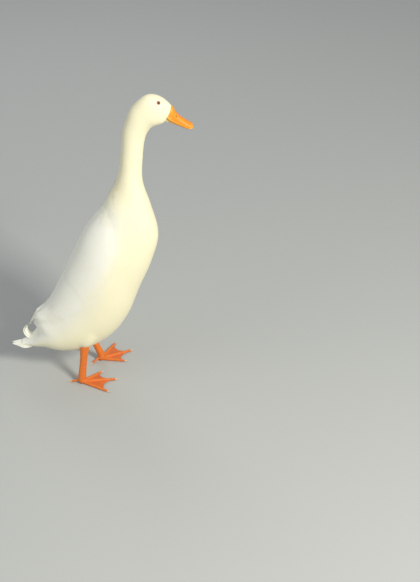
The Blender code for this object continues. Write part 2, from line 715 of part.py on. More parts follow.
def paint(objects):
    """Give each object its own material and round shading."""
    for obj in objects:
        kind = obj.name.split("_")[0]
        kind = {"shank": "leg", "foot": "leg"}.get(kind, kind)
        colour, roughness = COLOURS.get(kind, COLOURS["plumage"])
        material = bpy.data.materials.new(obj.name)
        material.use_nodes = True
        shader = material.node_tree.nodes["Principled BSDF"]
        shader.inputs["Base Color"].default_value = (*colour, 1)
        shader.inputs["Roughness"].default_value = roughness
        obj.data.materials.clear()
        obj.data.materials.append(material)
        obj.data.shade_smooth()
        obj.data.set_sharp_from_angle(angle=math.radians(40))


def stand_on_origin(objects):
    """Slide the whole figure level, so that its bounding box stands over the origin."""
    corners = np.array([vert.co for obj in objects for vert in obj.data.vertices])
    low, high = corners.min(axis=0), corners.max(axis=0)
    figure = bpy.data.objects.new("figure", None)
    bpy.context.scene.collection.objects.link(figure)
    figure.location = (-(low[0] + high[0]) / 2, -(low[1] + high[1]) / 2, -low[2])
    for obj in objects:
        obj.parent = figure


def main():
    for obj in list(bpy.data.objects):
        bpy.data.objects.remove(obj)
    torso = body_length("torso", "rump", "neck base", 20, 26)
    neck = body_length("neck", "neck base", "throat", 11, 22)
    tail = make_tail()
    thighs = [make_thigh(side) for side in SIDES]
    shanks = [make_shank(side) for side in SIDES]
    wings = [make_wing(side) for side in SIDES]
    cut_clear(torso, thighs + shanks)
    for wing in wings:
        cut_clear(wing, [torso])
    feet = [make_foot(side) for side in SIDES]
    claws = [make_claw(side, toe) for side in SIDES for toe in TOES]
    objects = [torso, neck, tail, *make_head(), *make_bill(), *thighs, *shanks, *wings, *feet, *claws]
    paint(objects)
    stand_on_origin(objects)


main()
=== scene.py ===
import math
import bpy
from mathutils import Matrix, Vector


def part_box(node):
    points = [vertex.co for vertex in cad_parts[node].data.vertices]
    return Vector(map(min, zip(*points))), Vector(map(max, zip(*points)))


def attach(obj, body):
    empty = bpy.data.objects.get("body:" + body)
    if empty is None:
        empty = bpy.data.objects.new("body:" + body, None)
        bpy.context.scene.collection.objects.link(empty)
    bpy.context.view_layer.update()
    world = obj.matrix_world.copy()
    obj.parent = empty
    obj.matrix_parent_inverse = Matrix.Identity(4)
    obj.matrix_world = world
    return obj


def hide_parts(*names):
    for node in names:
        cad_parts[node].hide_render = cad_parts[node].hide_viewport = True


bl_info = {
    "name": "Indian Runner Drake",
    "version": (1, 0, 0),
    "blender": (4, 5, 0),
    "location": "3D View > Sidebar > Runner Drake",
    "description": "Dresses the solids of a white Indian runner drake in skin, feathers, bill and feet",
    "category": "Object",
}

import bpy
import numpy as np
from bpy.props import FloatProperty, FloatVectorProperty, IntProperty, PointerProperty
from mathutils import Matrix, Vector
from mathutils.bvhtree import BVHTree
from mathutils.kdtree import KDTree

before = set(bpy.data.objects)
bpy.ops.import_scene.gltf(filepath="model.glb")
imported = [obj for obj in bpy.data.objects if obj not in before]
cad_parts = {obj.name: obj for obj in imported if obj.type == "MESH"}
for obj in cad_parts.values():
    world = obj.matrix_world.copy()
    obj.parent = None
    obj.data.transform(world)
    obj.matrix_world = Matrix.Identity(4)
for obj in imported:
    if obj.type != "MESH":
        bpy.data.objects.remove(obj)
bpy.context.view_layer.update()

SIDES = {"left": 1, "right": -1}

# Sizes below are in metres from the bird's own middle plane, and SHIFT brings them to the frame.
EYE = np.array([0.1482, 0.0102, 0.6220])  # centre of the solid eye
EYE_MOVED = np.array([-0.0014, 0.0023, -0.0013])  # from there to the eye's own centre
EYE_AXIS = np.array([0.40, 1.0, 0.70])  # the way the left eye looks
LID_AXIS = np.array([0.44, 1.0, 0.77])  # outwards from the head beside it
EYE_RADIUS = 0.0050
EYE_SUNK = 0.0012  # into the head from that centre
EYE_BULGE = 0.035  # of the cornea, as a part of the eye's radius
LID_RADIUS = 0.0034
LID_THICKNESS = 0.00055
SOCKET_DEPTH = 0.0035
SHIFT = sum(np.array(corner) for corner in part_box("eye_left")) / 2 - EYE
MIDDLE = SHIFT[1]

# Each section of the body: where its back line is (x, z), where its front line is, half its width,
# how far from back to front it is widest, and how square it is.
SECTIONS = {
    "tail tip": ((-0.1690, 0.0735), (-0.1690, 0.0705), 0.0090, 0.50, 2.0),
    "tail end": ((-0.1500, 0.0770), (-0.1490, 0.0705), 0.0100, 0.50, 2.0),
    "tail middle": ((-0.1370, 0.0840), (-0.1350, 0.0690), 0.0160, 0.50, 2.0),
    "tail base": ((-0.1245, 0.0950), (-0.1190, 0.0690), 0.0240, 0.50, 2.0),
    "rump": ((-0.1100, 0.1165), (-0.0970, 0.0690), 0.0340, 0.50, 2.0),
    "vent": ((-0.0990, 0.1385), (-0.0710, 0.0625), 0.0430, 0.52, 2.0),
    "hips": ((-0.0800, 0.1705), (-0.0300, 0.0635), 0.0520, 0.54, 2.0),
    "belly": ((-0.0500, 0.2295), (0.0340, 0.0950), 0.0600, 0.54, 2.0),
    "keel": ((-0.0230, 0.2885), (0.0750, 0.1475), 0.0630, 0.52, 2.0),
    "flank": ((-0.0030, 0.3340), (0.1020, 0.2150), 0.0610, 0.50, 2.0),
    "shoulder": ((0.0200, 0.3725), (0.1270, 0.2755), 0.0560, 0.48, 2.0),
    "breast": ((0.0420, 0.4145), (0.1410, 0.3375), 0.0460, 0.48, 2.0),
    "neck base": ((0.0585, 0.4470), (0.1290, 0.3925), 0.0340, 0.50, 2.0),
    "lower neck": ((0.0675, 0.4785), (0.1135, 0.4485), 0.0255, 0.50, 2.0),
    "upper neck": ((0.0725, 0.5175), (0.1145, 0.5030), 0.0215, 0.50, 2.0),
    "throat": ((0.0810, 0.5725), (0.1225, 0.5505), 0.0205, 0.50, 2.0),
    "nape": ((0.0985, 0.6105), (0.1325, 0.5665), 0.0215, 0.50, 2.1),
    "crown": ((0.1300, 0.6320), (0.1440, 0.5725), 0.0215, 0.52, 2.4),
    "brow": ((0.1515, 0.6270), (0.1520, 0.5750), 0.0190, 0.52, 2.4),
    "bill base": ((0.1712, 0.6105), (0.1582, 0.5775), 0.0128, 0.55, 2.2),
    "sheath": ((0.1795, 0.5971), (0.1720, 0.5765), 0.0110, 0.50, 2.0),
}
BODY_ENDS = (-0.0520, 0.6300)  # ends of the skin, along the body from the rump
BODY_GRID = (-0.0696, 0.6405, 0.0012)  # where its surface is measured: from, to and step
SKIN_READ_FROM = -0.0450  # the coat follows the skin from here on, and over the tail the sections
RAY_REACH = 0.03  # how far from its section's outline the skin can be
SKIN_VOXEL = 0.0017
SHEATH_DEPTH = 0.0007  # of the feathered skin over the base of the bill
THIGH_SUNK = (-0.0008, 0.0022)  # depth under the solid at its lower end, and what is added above
FEATHER_LINE = (  # height, and how far forward the feathers reach there
    (0.5600, 0.1720),
    (0.5805, 0.1700),
    (0.5850, 0.1630),
    (0.5895, 0.1624),
    (0.5952, 0.1666),
    (0.6012, 0.1710),
    (0.6085, 0.1712),
    (0.6300, 0.1700),
)

# The folded wing: distance from the rump, degrees from the back line of its upper and lower edges,
# and height over the body of both edges.
WING = np.array(
    [
        (-0.0050, 5.0, 14.0, 0.0200, 0.0180),
        (0.0085, 3.0, 18.0, 0.0215, 0.0180),
        (0.0190, 2.5, 27.0, 0.0215, 0.0150),
        (0.0300, 2.0, 37.0, 0.0170, 0.0090),
        (0.0400, 2.0, 43.0, 0.0130, 0.0060),
        (0.0573, 2.0, 50.0, 0.0105, 0.0048),
        (0.0757, 2.0, 55.5, 0.0103, 0.0042),
        (0.1203, 2.0, 65.5, 0.0106, 0.0040),
        (0.1569, 2.0, 70.0, 0.0108, 0.0040),
        (0.1920, 2.0, 77.0, 0.0102, 0.0040),
        (0.2278, 2.0, 83.0, 0.0092, 0.0038),
        (0.2605, 2.0, 85.0, 0.0084, 0.0034),
        (0.2836, 3.0, 81.0, 0.0074, 0.0030),
        (0.3000, 5.0, 73.0, 0.0058, 0.0024),
        (0.3130, 9.0, 65.0, 0.0040, 0.0014),
        (0.3260, 15.0, 58.0, 0.0020, 0.0004),
        (0.3400, 20.0, 54.0, 0.0000, -0.0006),
    ]
)
WING_EDGE_DROP = 0.35  # part of its height that a wing loses at its edges
WING_GRID = ((-0.012, 0.338, 0.0025), (-0.15, 1.121, 0.02))  # along it and across: from, to and step
WING_TONE = 0.12  # how creamy the wings and the tail are
WING_PAD_DEPTH = 0.0018  # of the wing's feathers over its solid part
WING_PAD_THICKNESS = 0.006
WING_PAD_ENDS = (0.034, 0.322)
SWELL_LIMIT = 0.0110  # greatest height of the coat beside the wings
SWELL_AT_REAR = 0.0060  # what is added to that under the wing tips
SWELL_GAP = 0.0003  # between the coat and the wing over it
RUFFLE_HEIGHT = 0.0010

# The coat at distances from the rump: between rows, between feathers, their length, half their
# width, and the coat's depth.
COAT = np.array(
    [
        (-0.050, 0.0046, 0.0050, 0.0130, 0.0044, 0.0009),
        (-0.020, 0.0048, 0.0054, 0.0140, 0.0048, 0.0014),
        (0.030, 0.0050, 0.0058, 0.0160, 0.0053, 0.0017),
        (0.090, 0.0050, 0.0058, 0.0210, 0.0053, 0.0018),
        (0.300, 0.0050, 0.0058, 0.0210, 0.0053, 0.0018),
        (0.370, 0.0044, 0.0050, 0.0180, 0.0046, 0.0017),
        (0.420, 0.0032, 0.0034, 0.0130, 0.0030, 0.0014),
        (0.470, 0.0024, 0.0025, 0.0100, 0.0021, 0.0011),
        (0.540, 0.0020, 0.0020, 0.0078, 0.0016, 0.0009),
        (0.580, 0.0016, 0.0015, 0.0060, 0.0012, 0.0006),
        (0.610, 0.0013, 0.0012, 0.0046, 0.0010, 0.0004),
        (0.630, 0.0010, 0.0010, 0.0032, 0.0008, 0.0003),
        (0.641, 0.0009, 0.0009, 0.0026, 0.0007, 0.0002),
    ]
)
COAT_HIDDEN = (0.060, 0.045, 0.300)  # under the wings: from, what is added below, and to
COAT_HIDDEN_MARGINS = (5, 8)  # degrees inside a wing's upper and lower edges
LID_GAPS = (0.0005, 0.0004, 0.0002)  # of feathers' roots, of passing tips and of tips cut short
SHORTEST_FEATHER = 0.0010
COAT_PIECES = {  # from and to, outline, and points across each feather
    "coat_rump": (-0.037, 0.090, "body", 5),
    "coat_belly": (0.090, 0.235, "body", 5),
    "coat_breast": (0.235, 0.400, "body", 5),
    "coat_neck": (0.400, 0.550, "neck", 3),
    "coat_head": (0.550, 0.640, "face", 3),
}
COAT_RISE = {"body": 4.2, "neck": 4.2, "face": 8.0}  # how soon a feather is at its full height
BAKE_PATCH = 0.003  # width of one feather on the map for baking
CURL_PARTS = np.linspace(0, 1, 18)
OUTLINES = {  # parts of a feather's length, and how wide it is there
    "body": ((0, 0.22, 0.50, 0.77, 0.92, 1), (0.40, 0.82, 1, 0.93, 0.66, 0.24)),
    "neck": ((0, 0.3, 0.62, 0.87, 1), (0.45, 0.90, 1, 0.70, 0.15)),
    "face": ((0, 0.20, 0.46, 0.76, 1), (0.55, 0.86, 1, 0.75, 0.10)),
    "covert": ((0, 0.2, 0.45, 0.7, 0.88, 1), (0.45, 0.82, 1, 1, 0.82, 0.40)),
    "flight": ((0, 0.12, 0.3, 0.5, 0.7, 0.86, 0.95, 1), (0.35, 0.72, 0.95, 1, 1, 0.90, 0.66, 0.30)),
    "pointed": ((0, 0.15, 0.35, 0.58, 0.78, 0.91, 1), (0.45, 0.85, 1, 0.94, 0.72, 0.42, 0.12)),
    "tail": ((0, 0.15, 0.4, 0.65, 0.82, 0.93, 1), (0.5, 0.85, 1, 1, 0.86, 0.55, 0.12)),
    "curl": (CURL_PARTS, np.interp(CURL_PARTS, (0, 0.15, 0.7, 0.88, 1), (0.9, 1, 0.95, 0.75, 0.25))),
}

# How a feather is made, unless it says otherwise.
VANE = {
    "columns": 5,  # points across it
    "thickness": 0.00022,
    "smoothness": 0.5,  # how far its shading follows the surface under it
    "turn": 0.0,  # degrees away from the way to the tail
    "rounding": 0.30,  # of the tip, as a part of the half width
    "ragged": 0.05,  # how uneven the tip is, as a part of the half width
    "rise": 2.0,  # how soon it is at its full height
    "lean": 0.0,  # how much higher one edge is than the middle
    "cup": 0.0,  # how far the edges bend down
    "droop": 0.0,  # how far the tip bends down
    "shaft": 0.0,  # height of the shaft at the root
    "tone": 1.0,  # how creamy it is
    "side": "left",
}

# The feathers of a wing: first and last root along it, rows, feathers in a row, where the row starts
# and ends across it, length at the upper and the lower edge, half width, outline.
WING_TRACTS = {
    "primaries": ((0.085, 0.073), 2, 4, (0.06, 0.62), (0.082, 0.066), 0.0062, "pointed"),
    "secondaries": ((0.190, 0.190), 1, 11, (0.12, 1.00), (0.122, 0.106), 0.0085, "flight"),
    "tertials": ((0.186, 0.160), 3, 4, (-0.05, 0.36), (0.104, 0.092), 0.0088, "flight"),
    "greater coverts": ((0.222, 0.206), 4, 12, (-0.02, 1.00), (0.056, 0.046), 0.0074, "covert"),
    "median coverts": ((0.246, 0.220), 6, 15, (-0.04, 1.00), (0.038, 0.032), 0.0062, "covert"),
    "lesser coverts": ((0.330, 0.250), 22, 20, (-0.05, 1.00), (0.024, 0.020), 0.0052, "covert"),
    "scapulars": ((0.322, 0.190), 24, 6, (-0.08, 0.34), (0.042, 0.038), 0.0076, "covert"),
}
FLIGHT_VANE = {
    "columns": 7,
    "smoothness": 0.55,
    "lean": -0.00015,
    "cup": 0.00015,
    "shaft": 0.0003,
    "rise": 3.0,
}
COVERT_VANE = {"smoothness": 0.90, "cup": 0.00006, "rise": 4.0, "ragged": 0.08}

TAIL_ROOT = (-0.1120, 0.0815)
TAIL_SLOPE = -0.19
TAIL_ARCH = 6.0  # how fast the fan falls away from its middle line
TAIL_SIDE = 6  # feathers on each side
TAIL_FAN = {  # at the middle feather, and what is added up to the outermost one
    "root": (0.0012, 0.0080),
    "tip": (0.0036, 0.0116),
    "length": (0.0600, -0.0190),
    "height": (0.0010, -0.0042),
}
TAIL_RIGHT = (0.0016, 0.0005)  # how much shorter and lower the right half is
TAIL_HALF_WIDTH = 0.0060
TAIL_VANE = {
    "columns": 7,
    "thickness": 0.0003,
    "smoothness": 0.3,
    "cup": 0.0006,
    "shaft": 0.0004,
    "rounding": 0.08,
}
CURL_VANE = {"columns": 7, "thickness": 0.0004, "smoothness": 0.2, "shaft": 0.0004, "tone": 0.10}
CURL_CENTRE = (-0.1252, 0.1060)
CURLS = (  # distance to the left, radius at the root, degrees of curl, how far it flares across
    (-0.0010, 0.0182, 264, -0.60),
    (0.0034, 0.0174, 252, -0.50),
    (0.0006, 0.0162, 238, -0.40),
)
CURL_START = -50  # degrees up from level, where a curl leaves the tail
CURL_TIGHTENING = 0.30  # part of its radius that a curl loses up to its tip
CURL_HALF_WIDTH = 0.0060

BILL = {  # line of the ridge (x, z), line of the mouth, half width, depth of the lower bill
    "root": ((0.1672, 0.6104), (0.1592, 0.5898), 0.0096, 0.0042),
    "base": ((0.1710, 0.6100), (0.1625, 0.5884), 0.0118, 0.0056),
    "nostril": ((0.1795, 0.5971), (0.1735, 0.5807), 0.0108, 0.0044),
    "middle": ((0.1907, 0.5858), (0.1865, 0.5741), 0.0100, 0.0034),
    "spoon": ((0.2029, 0.5775), (0.1985, 0.5691), 0.0110, 0.0027),
    "nail": ((0.2095, 0.5730), (0.2080, 0.5662), 0.0092, 0.0020),
    "tip": ((0.2128, 0.5683), (0.2124, 0.5650), 0.0042, 0.0010),
}
BILL_LENGTH = 0.0560
BILL_RADIUS = 0.0115  # round its ridge at the nostrils
NOSTRIL = (0.34, 52.0)  # part of the way along the bill, degrees up from the mouth line
NOSTRIL_SIZE = (0.0027, 0.0010, 0.0010)  # half its length, half its height, depth
NOSTRIL_RIM = 0.00025
NAIL_HEIGHT = 0.00035
MOUTH_EDGE = 0.0002  # how far the upper bill's edges stand out
LOWER_BILL_REACH = 0.93  # part of the upper bill's length
LOWER_BILL_WIDTH = 0.90  # part of the upper bill's width
GROOVE_DEPTH = 0.0005  # along the underside

FEET = {  # hock (x, y, z), ankle (x, y), heading in degrees, turned out to its own side
    "left": ((-0.0190, 0.0380, 0.0880), (0.0105, 0.0395), 27),
    "right": ((-0.0145, -0.0405, 0.0900), (-0.0235, -0.0445), -8),
}
TOES = {  # turn away from the middle toe to its own side, length
    "inner": (-35, 0.0500),
    "middle": (0, 0.0680),
    "outer": (39, 0.0620),
    "hind": (-166.5, 0.0225),
}
ANKLE_HEIGHT = 0.0145
TOE_RADII = (0.0042, 0.0024)  # at the ankle and at the claw
LEG_SWELLING = {"shank": 0.0012, "foot": 0.0004}  # over the solids
LEG_VOXEL = 0.00075
SHANK_PLATE = 0.0036  # from one plate to the next
TOE_PLATE = 0.0029
PLATE_HEIGHT = 0.00032
CLAW_SWELLING = 0.0002
CLAW_GAP = 0.0001  # between the claws and the floor
WARM = (1.0, 0.97, 0.90)
COOL = (0.95, 0.98, 1.0)


class CoatSettings(bpy.types.PropertyGroup):
    density: FloatProperty(name="Density", description="How closely the feathers stand", default=1.0, min=0.2)
    smoothness: FloatProperty(
        name="Smooth lie",
        description="How far the shading of the small feathers follows the body",
        default=0.86,
        subtype="FACTOR",
    )
    thickness: FloatProperty(
        name="Thickness", description="Of one feather", default=0.00022, unit="LENGTH", precision=5
    )
    disorder: FloatProperty(
        name="Disorder", description="Variation from one feather to the next", default=1.0, subtype="FACTOR"
    )
    seed: IntProperty(name="Seed", description="Start of the random draws", default=7)


def colour_setting(name, description, default):
    """A colour that can be set on the panel."""
    return FloatVectorProperty(name=name, description=description, default=default, subtype="COLOR")


class ColourSettings(bpy.types.PropertyGroup):
    cream: colour_setting("Cream", "Breast, belly, neck and head", (0.90, 0.845, 0.585))
    white: colour_setting("White", "Wings, back and tail", (0.87, 0.87, 0.79))
    bill: colour_setting("Bill", "Its sides", (0.82, 0.275, 0.014))
    bill_edge: colour_setting("Bill edge", "Its base, edges and nail", (0.86, 0.46, 0.085))
    leg: colour_setting("Leg", "Scales of the legs", (0.84, 0.205, 0.028))
    web: colour_setting("Web", "Skin between the toes", (0.74, 0.155, 0.025))
    claw: colour_setting("Claw", "Horn of the claws", (0.74, 0.55, 0.36))
    iris: colour_setting("Iris", "Ring of the eye", (0.24, 0.050, 0.032))
    lid: colour_setting("Eyelid", "Bare skin round the eye", (0.80, 0.58, 0.42))
    floor: colour_setting("Floor", "Plain studio floor", (0.46, 0.47, 0.45))


class StageSettings(bpy.types.PropertyGroup):
    camera: FloatVectorProperty(
        name="Camera",
        description="Its place, from the bird's middle plane",
        default=(0.24358, -2.317, 1.6575),
        subtype="TRANSLATION",
    )
    pitch: FloatProperty(
        name="Pitch", description="How far it looks down", default=math.radians(32.2), subtype="ANGLE"
    )
    lens: FloatProperty(name="Focal length", description="In millimetres", default=82.89)
    key: FloatProperty(name="Key light", description="In watts", default=90.0)
    fill: FloatProperty(name="Fill light", description="In watts", default=9.0)
    sky: FloatProperty(name="Room light", description="Strength of the even light", default=0.46)


SETTINGS = {"drake_coat": CoatSettings, "drake_colours": ColourSettings, "drake_stage": StageSettings}
MATERIALS = {}
SURFACES = {}


class Value:
    """A shader value: ordinary arithmetic on it adds the nodes that work it out."""

    def __init__(self, shader, socket):
        self.shader = shader
        self.socket = socket

    def math(self, operation, first, second=0.0):
        node = self.shader.node("ShaderNodeMath", {"operation": operation}, {0: first, 1: second})
        return Value(self.shader, node.outputs[0])

    def __add__(self, other):
        return self.math("ADD", self, other)

    def __sub__(self, other):
        return self.math("SUBTRACT", self, other)

    def __rsub__(self, other):
        return self.math("SUBTRACT", other, self)

    def __mul__(self, other):
        return self.math("MULTIPLY", self, other)

    __radd__ = __add__
    __rmul__ = __mul__

    def sine(self):
        """The sine of an angle in radians."""
        return self.math("SINE", self)

    def size(self):
        """The value without its sign."""
        return self.math("ABSOLUTE", self)

    def step(self, low, high):
        """0 below the first value, 1 above the second, and smooth between them."""
        settings = {"interpolation_type": "SMOOTHSTEP"}
        node = self.shader.node(
            "ShaderNodeMapRange", settings, {"Value": self, "From Min": low, "From Max": high}
        )
        return Value(self.shader, node.outputs[0])


class Shader:
    """A material built round one Principled shader, with its even values set on the shader itself."""

    def __init__(self, name, **even):
        self.material = bpy.data.materials.new(name)
        self.material.use_nodes = True
        self.tree = self.material.node_tree
        self.surface = self.tree.nodes["Principled BSDF"]
        for socket, value in even.items():
            self.surface.inputs[socket.replace("_", " ")].default_value = value
        MATERIALS[name] = self.material

    def node(self, kind, settings=None, inputs=None):
        """A new node of this type, with its settings and the values or links of its sockets."""
        node = self.tree.nodes.new(kind)
        for key, value in (settings or {}).items():
            setattr(node, key, value)
        for key, value in (inputs or {}).items():
            self.put(value, node.inputs[key])
        return node

    def put(self, value, socket):
        """Links a shader value to a socket, or sets a plain one on it."""
        if isinstance(value, Value):
            self.tree.links.new(value.socket, socket)
        else:
            socket.default_value = value

    def attribute(self, name):
        """A number that the piece keeps for each vertex."""
        return Value(self, self.node("ShaderNodeAttribute", {"attribute_name": name}).outputs["Fac"])

    def place(self):
        """The place on the piece, in its own coordinates."""
        return Value(self, self.node("ShaderNodeTexCoord").outputs["Object"])

    def uv(self, name):
        """Both coordinates of one of the piece's maps."""
        vector = Value(self, self.node("ShaderNodeUVMap", {"uv_map": name}).outputs[0])
        parts = self.node("ShaderNodeSeparateXYZ", None, {0: vector})
        return Value(self, parts.outputs[0]), Value(self, parts.outputs[1])

    def noise(self, scale, detail=3.0, roughness=0.55):
        node = self.node(
            "ShaderNodeTexNoise",
            None,
            {"Vector": self.place(), "Scale": scale, "Detail": detail, "Roughness": roughness},
        )
        return Value(self, node.outputs["Fac"])

    def cells(self, scale):
        """A net of small plates: the distance from the nearest edge between them."""
        settings = {"feature": "DISTANCE_TO_EDGE"}
        node = self.node("ShaderNodeTexVoronoi", settings, {"Vector": self.place(), "Scale": scale})
        return Value(self, node.outputs["Distance"])

    def mix(self, part, first, second):
        """A colour part of the way from the first to the second."""
        first, second = (c if isinstance(c, Value) else (*c, 1.0) for c in (first, second))
        node = self.node("ShaderNodeMix", {"data_type": "RGBA"}, {0: part, 6: first, 7: second})
        return Value(self, node.outputs[2])

    def finish(self, colour, roughness=None, height=None, strength=0.3, distance=0.0003):
        """Gives the surface its colour and, where they vary, its roughness and relief."""
        self.put(colour, self.surface.inputs["Base Color"])
        if roughness is not None:
            self.put(roughness, self.surface.inputs["Roughness"])
        if height is not None:
            relief = {"Height": height, "Strength": strength, "Distance": distance}
            bump = self.node("ShaderNodeBump", None, relief)
            self.put(Value(self, bump.outputs[0]), self.surface.inputs["Normal"])


def shade(colour, amount):
    """A colour made darker or lighter."""
    return tuple(min(1.0, part * amount) for part in colour)


def plumage_colour(shader, colours):
    """The colour of skin and coat: cream or white as the tone says, a little mottled."""
    tone = shader.attribute("tone")
    mottle = shader.noise(38.0)
    base = shader.mix(tone, colours.white, colours.cream)
    return shader.mix(mottle.step(0.35, 0.75) * 0.10, base, shade(colours.cream, 0.90))


def feather_material(colours):
    """White vane with fine slanting barbs and a raised shaft."""
    shader = Shader(
        "feather", Roughness=0.62, Sheen_Weight=0.10, Sheen_Roughness=0.4, Specular_IOR_Level=0.25
    )
    across, along = shader.uv("Vane")
    from_shaft = (across - 0.5).size()
    barbs = ((along * 60.0 - from_shaft * 34.0) * math.tau).sine() * 0.5 + 0.5
    shaft = 1.0 - from_shaft.step(0.015, 0.06)
    split = shader.noise(900.0, 2.0).step(0.45, 0.8)
    colour = plumage_colour(shader, colours)
    colour = shader.mix((1.0 - along.step(0.0, 0.5)) * 0.10, colour, shade(colours.cream, 0.80))
    height = barbs * 0.35 + shaft * 1.2 + split * 0.3
    shader.finish(colour, None, height, strength=0.22, distance=0.00012)


def skin_material(colours):
    """Soft down, in the colour of the coat over it."""
    shader = Shader("down", Roughness=0.75, Specular_IOR_Level=0.2)
    shader.finish(plumage_colour(shader, colours), None, shader.noise(700.0))


def bill_material(colours):
    """Satin horn over skin: yellow at base and edges, orange on the sides, painted shade in the nostrils."""
    shader = Shader("bill", Specular_IOR_Level=0.35, Subsurface_Weight=0.12, Subsurface_Scale=0.004)
    shader.surface.inputs["Subsurface Radius"].default_value = (1.0, 0.4, 0.1)
    along = shader.attribute("bill_along")
    up = shader.attribute("bill_up")
    edge = shader.attribute("bill_edge")
    hole = shader.attribute("bill_hole")
    mottle = shader.noise(160.0)
    fine = shader.noise(1400.0, 4.0)
    pale = (1.0 - along.step(0.0, 0.35)) * 0.55 + along.step(0.80, 0.95) * 0.45 + edge * 0.5
    colour = shader.mix(pale.step(0.0, 1.0), colours.bill, colours.bill_edge)
    colour = shader.mix(mottle.step(0.45, 0.8) * 0.30, colour, shade(colours.bill, 0.80))
    colour = shader.mix(up.step(0.75, 1.0) * 0.25, colour, shade(colours.bill, 0.86))
    # Painted shade: the shallow nostril hollows are coloured almost black.
    colour = shader.mix(hole * 0.85, colour, (0.13, 0.030, 0.006))
    height = fine * 0.6 + mottle * 0.8
    shader.finish(colour, 0.36 + fine * 0.22, height, strength=0.25)


def leg_material(colours):
    """Scaled skin: orange plates, darker scale lines, painted shade in the plate grooves, redder webs."""
    shader = Shader("leg", Specular_IOR_Level=0.4, Subsurface_Weight=0.08, Subsurface_Scale=0.003)
    shader.surface.inputs["Subsurface Radius"].default_value = (1.0, 0.35, 0.1)
    web = shader.attribute("web")
    groove = shader.attribute("groove")
    net = shader.cells(760.0)
    mottle = shader.noise(240.0)
    line = 1.0 - net.step(0.02, 0.16)
    colour = shader.mix(web, colours.leg, colours.web)
    colour = shader.mix(line * 0.40, colour, shade(colours.leg, 0.55))
    # Painted shade in the grooves between the plates of shank and toes.
    colour = shader.mix(groove * 0.45, colour, shade(colours.leg, 0.50))
    colour = shader.mix(mottle.step(0.5, 0.8) * 0.25, colour, colours.bill_edge)
    height = net.step(0.0, 0.22) - groove * 0.3
    shader.finish(colour, 0.42 + line * 0.2, height, strength=0.5, distance=0.0004)


def claw_material(colours):
    """Pale horn with a fine grain."""
    shader = Shader("claw", Specular_IOR_Level=0.5)
    grain = shader.noise(500.0, 4.0)
    colour = shader.mix(grain, shade(colours.claw, 0.8), colours.claw)
    shader.finish(colour, 0.28 + grain * 0.2, grain, strength=0.2)


def eye_material(colours):
    """A dark pupil, a red-brown iris with fine rays, and a dark rim, under a wet surface."""
    shader = Shader("eye", Roughness=0.12, Coat_Weight=0.5, Coat_Roughness=0.05, Specular_IOR_Level=0.4)
    angle = shader.attribute("angle")
    rays = shader.noise(2600.0, 2.0)
    iris = shader.mix(rays, shade(colours.iris, 0.55), shade(colours.iris, 1.35))
    rim = angle.step(0.60, 0.78)
    pupil = 1.0 - angle.step(0.25, 0.31)
    colour = shader.mix(rim, iris, shade(colours.iris, 0.18))
    shader.finish(shader.mix(pupil, colour, (0.004, 0.003, 0.003)))


def lid_material(colours):
    """Bare creased skin."""
    shader = Shader(
        "lid", Roughness=0.5, Specular_IOR_Level=0.4, Subsurface_Weight=0.15, Subsurface_Scale=0.002
    )
    creases = shader.noise(1500.0, 3.0)
    colour = shader.mix(creases, shade(colours.lid, 0.82), colours.lid)
    shader.finish(colour, None, creases, strength=0.4)


def floor_material(colours):
    """A plain matt floor."""
    shader = Shader("floor", Roughness=0.9, Specular_IOR_Level=0.1)
    grain = shader.noise(60.0)
    shader.finish(shader.mix(grain * 0.15, colours.floor, shade(colours.floor, 0.96)))


def smooth(keys, values, at):
    """Values at the places asked for on a smooth curve through the key values."""
    keys, values, at = (np.asarray(x, float) for x in (keys, values, at))
    slopes = np.gradient(values, keys, axis=0)
    at = np.clip(at, keys[0], keys[-1])
    i = np.clip(np.searchsorted(keys, at, side="right") - 1, 0, len(keys) - 2)
    span = keys[i + 1] - keys[i]
    f = (at - keys[i]) / span
    if values.ndim > 1:
        f, span = f[..., None], span[..., None]
    return (
        (1 + 2 * f) * (1 - f) ** 2 * values[i]
        + f * (1 - f) ** 2 * span * slopes[i]
        + f * f * (3 - 2 * f) * values[i + 1]
        - f * f * (1 - f) * span * slopes[i + 1]
    )


def ease(low, high, value):
    """0 below the first value, 1 above the second, and smooth between them."""
    part = np.clip((value - low) / (high - low), 0, 1)
    return part * part * (3 - 2 * part)


def unit(vectors):
    """Vectors of length one."""
    return vectors / np.maximum(np.linalg.norm(vectors, axis=-1, keepdims=True), 1e-12)


def path_lengths(points):
    """Distance of each point of a path from its start."""
    return np.concatenate([[0], np.cumsum(np.linalg.norm(np.diff(points, axis=0), axis=1))])


def from_back(around):
    """Degrees from the back line, the same on both sides."""
    return np.abs((np.asarray(around) + 180) % 360 - 180)


def in_frame(x, y, z):
    """Points in the frame, from their coordinates on the bird."""
    return np.stack([x, y, z], axis=-1) + SHIFT


def mirrored(points, side):
    """Points in the frame, or their mirror images on the bird's right side."""
    points = np.array(points, float)
    if side == "right":
        points[..., 1] = 2 * MIDDLE - points[..., 1]
    return points


SECTION_ROWS = np.array([[*back, *front, *shape] for back, front, *shape in SECTIONS.values()])
SECTION_PLACES = path_lengths((SECTION_ROWS[:, 0:2] + SECTION_ROWS[:, 2:4]) / 2)
SECTION_PLACES -= SECTION_PLACES[list(SECTIONS).index("rump")]


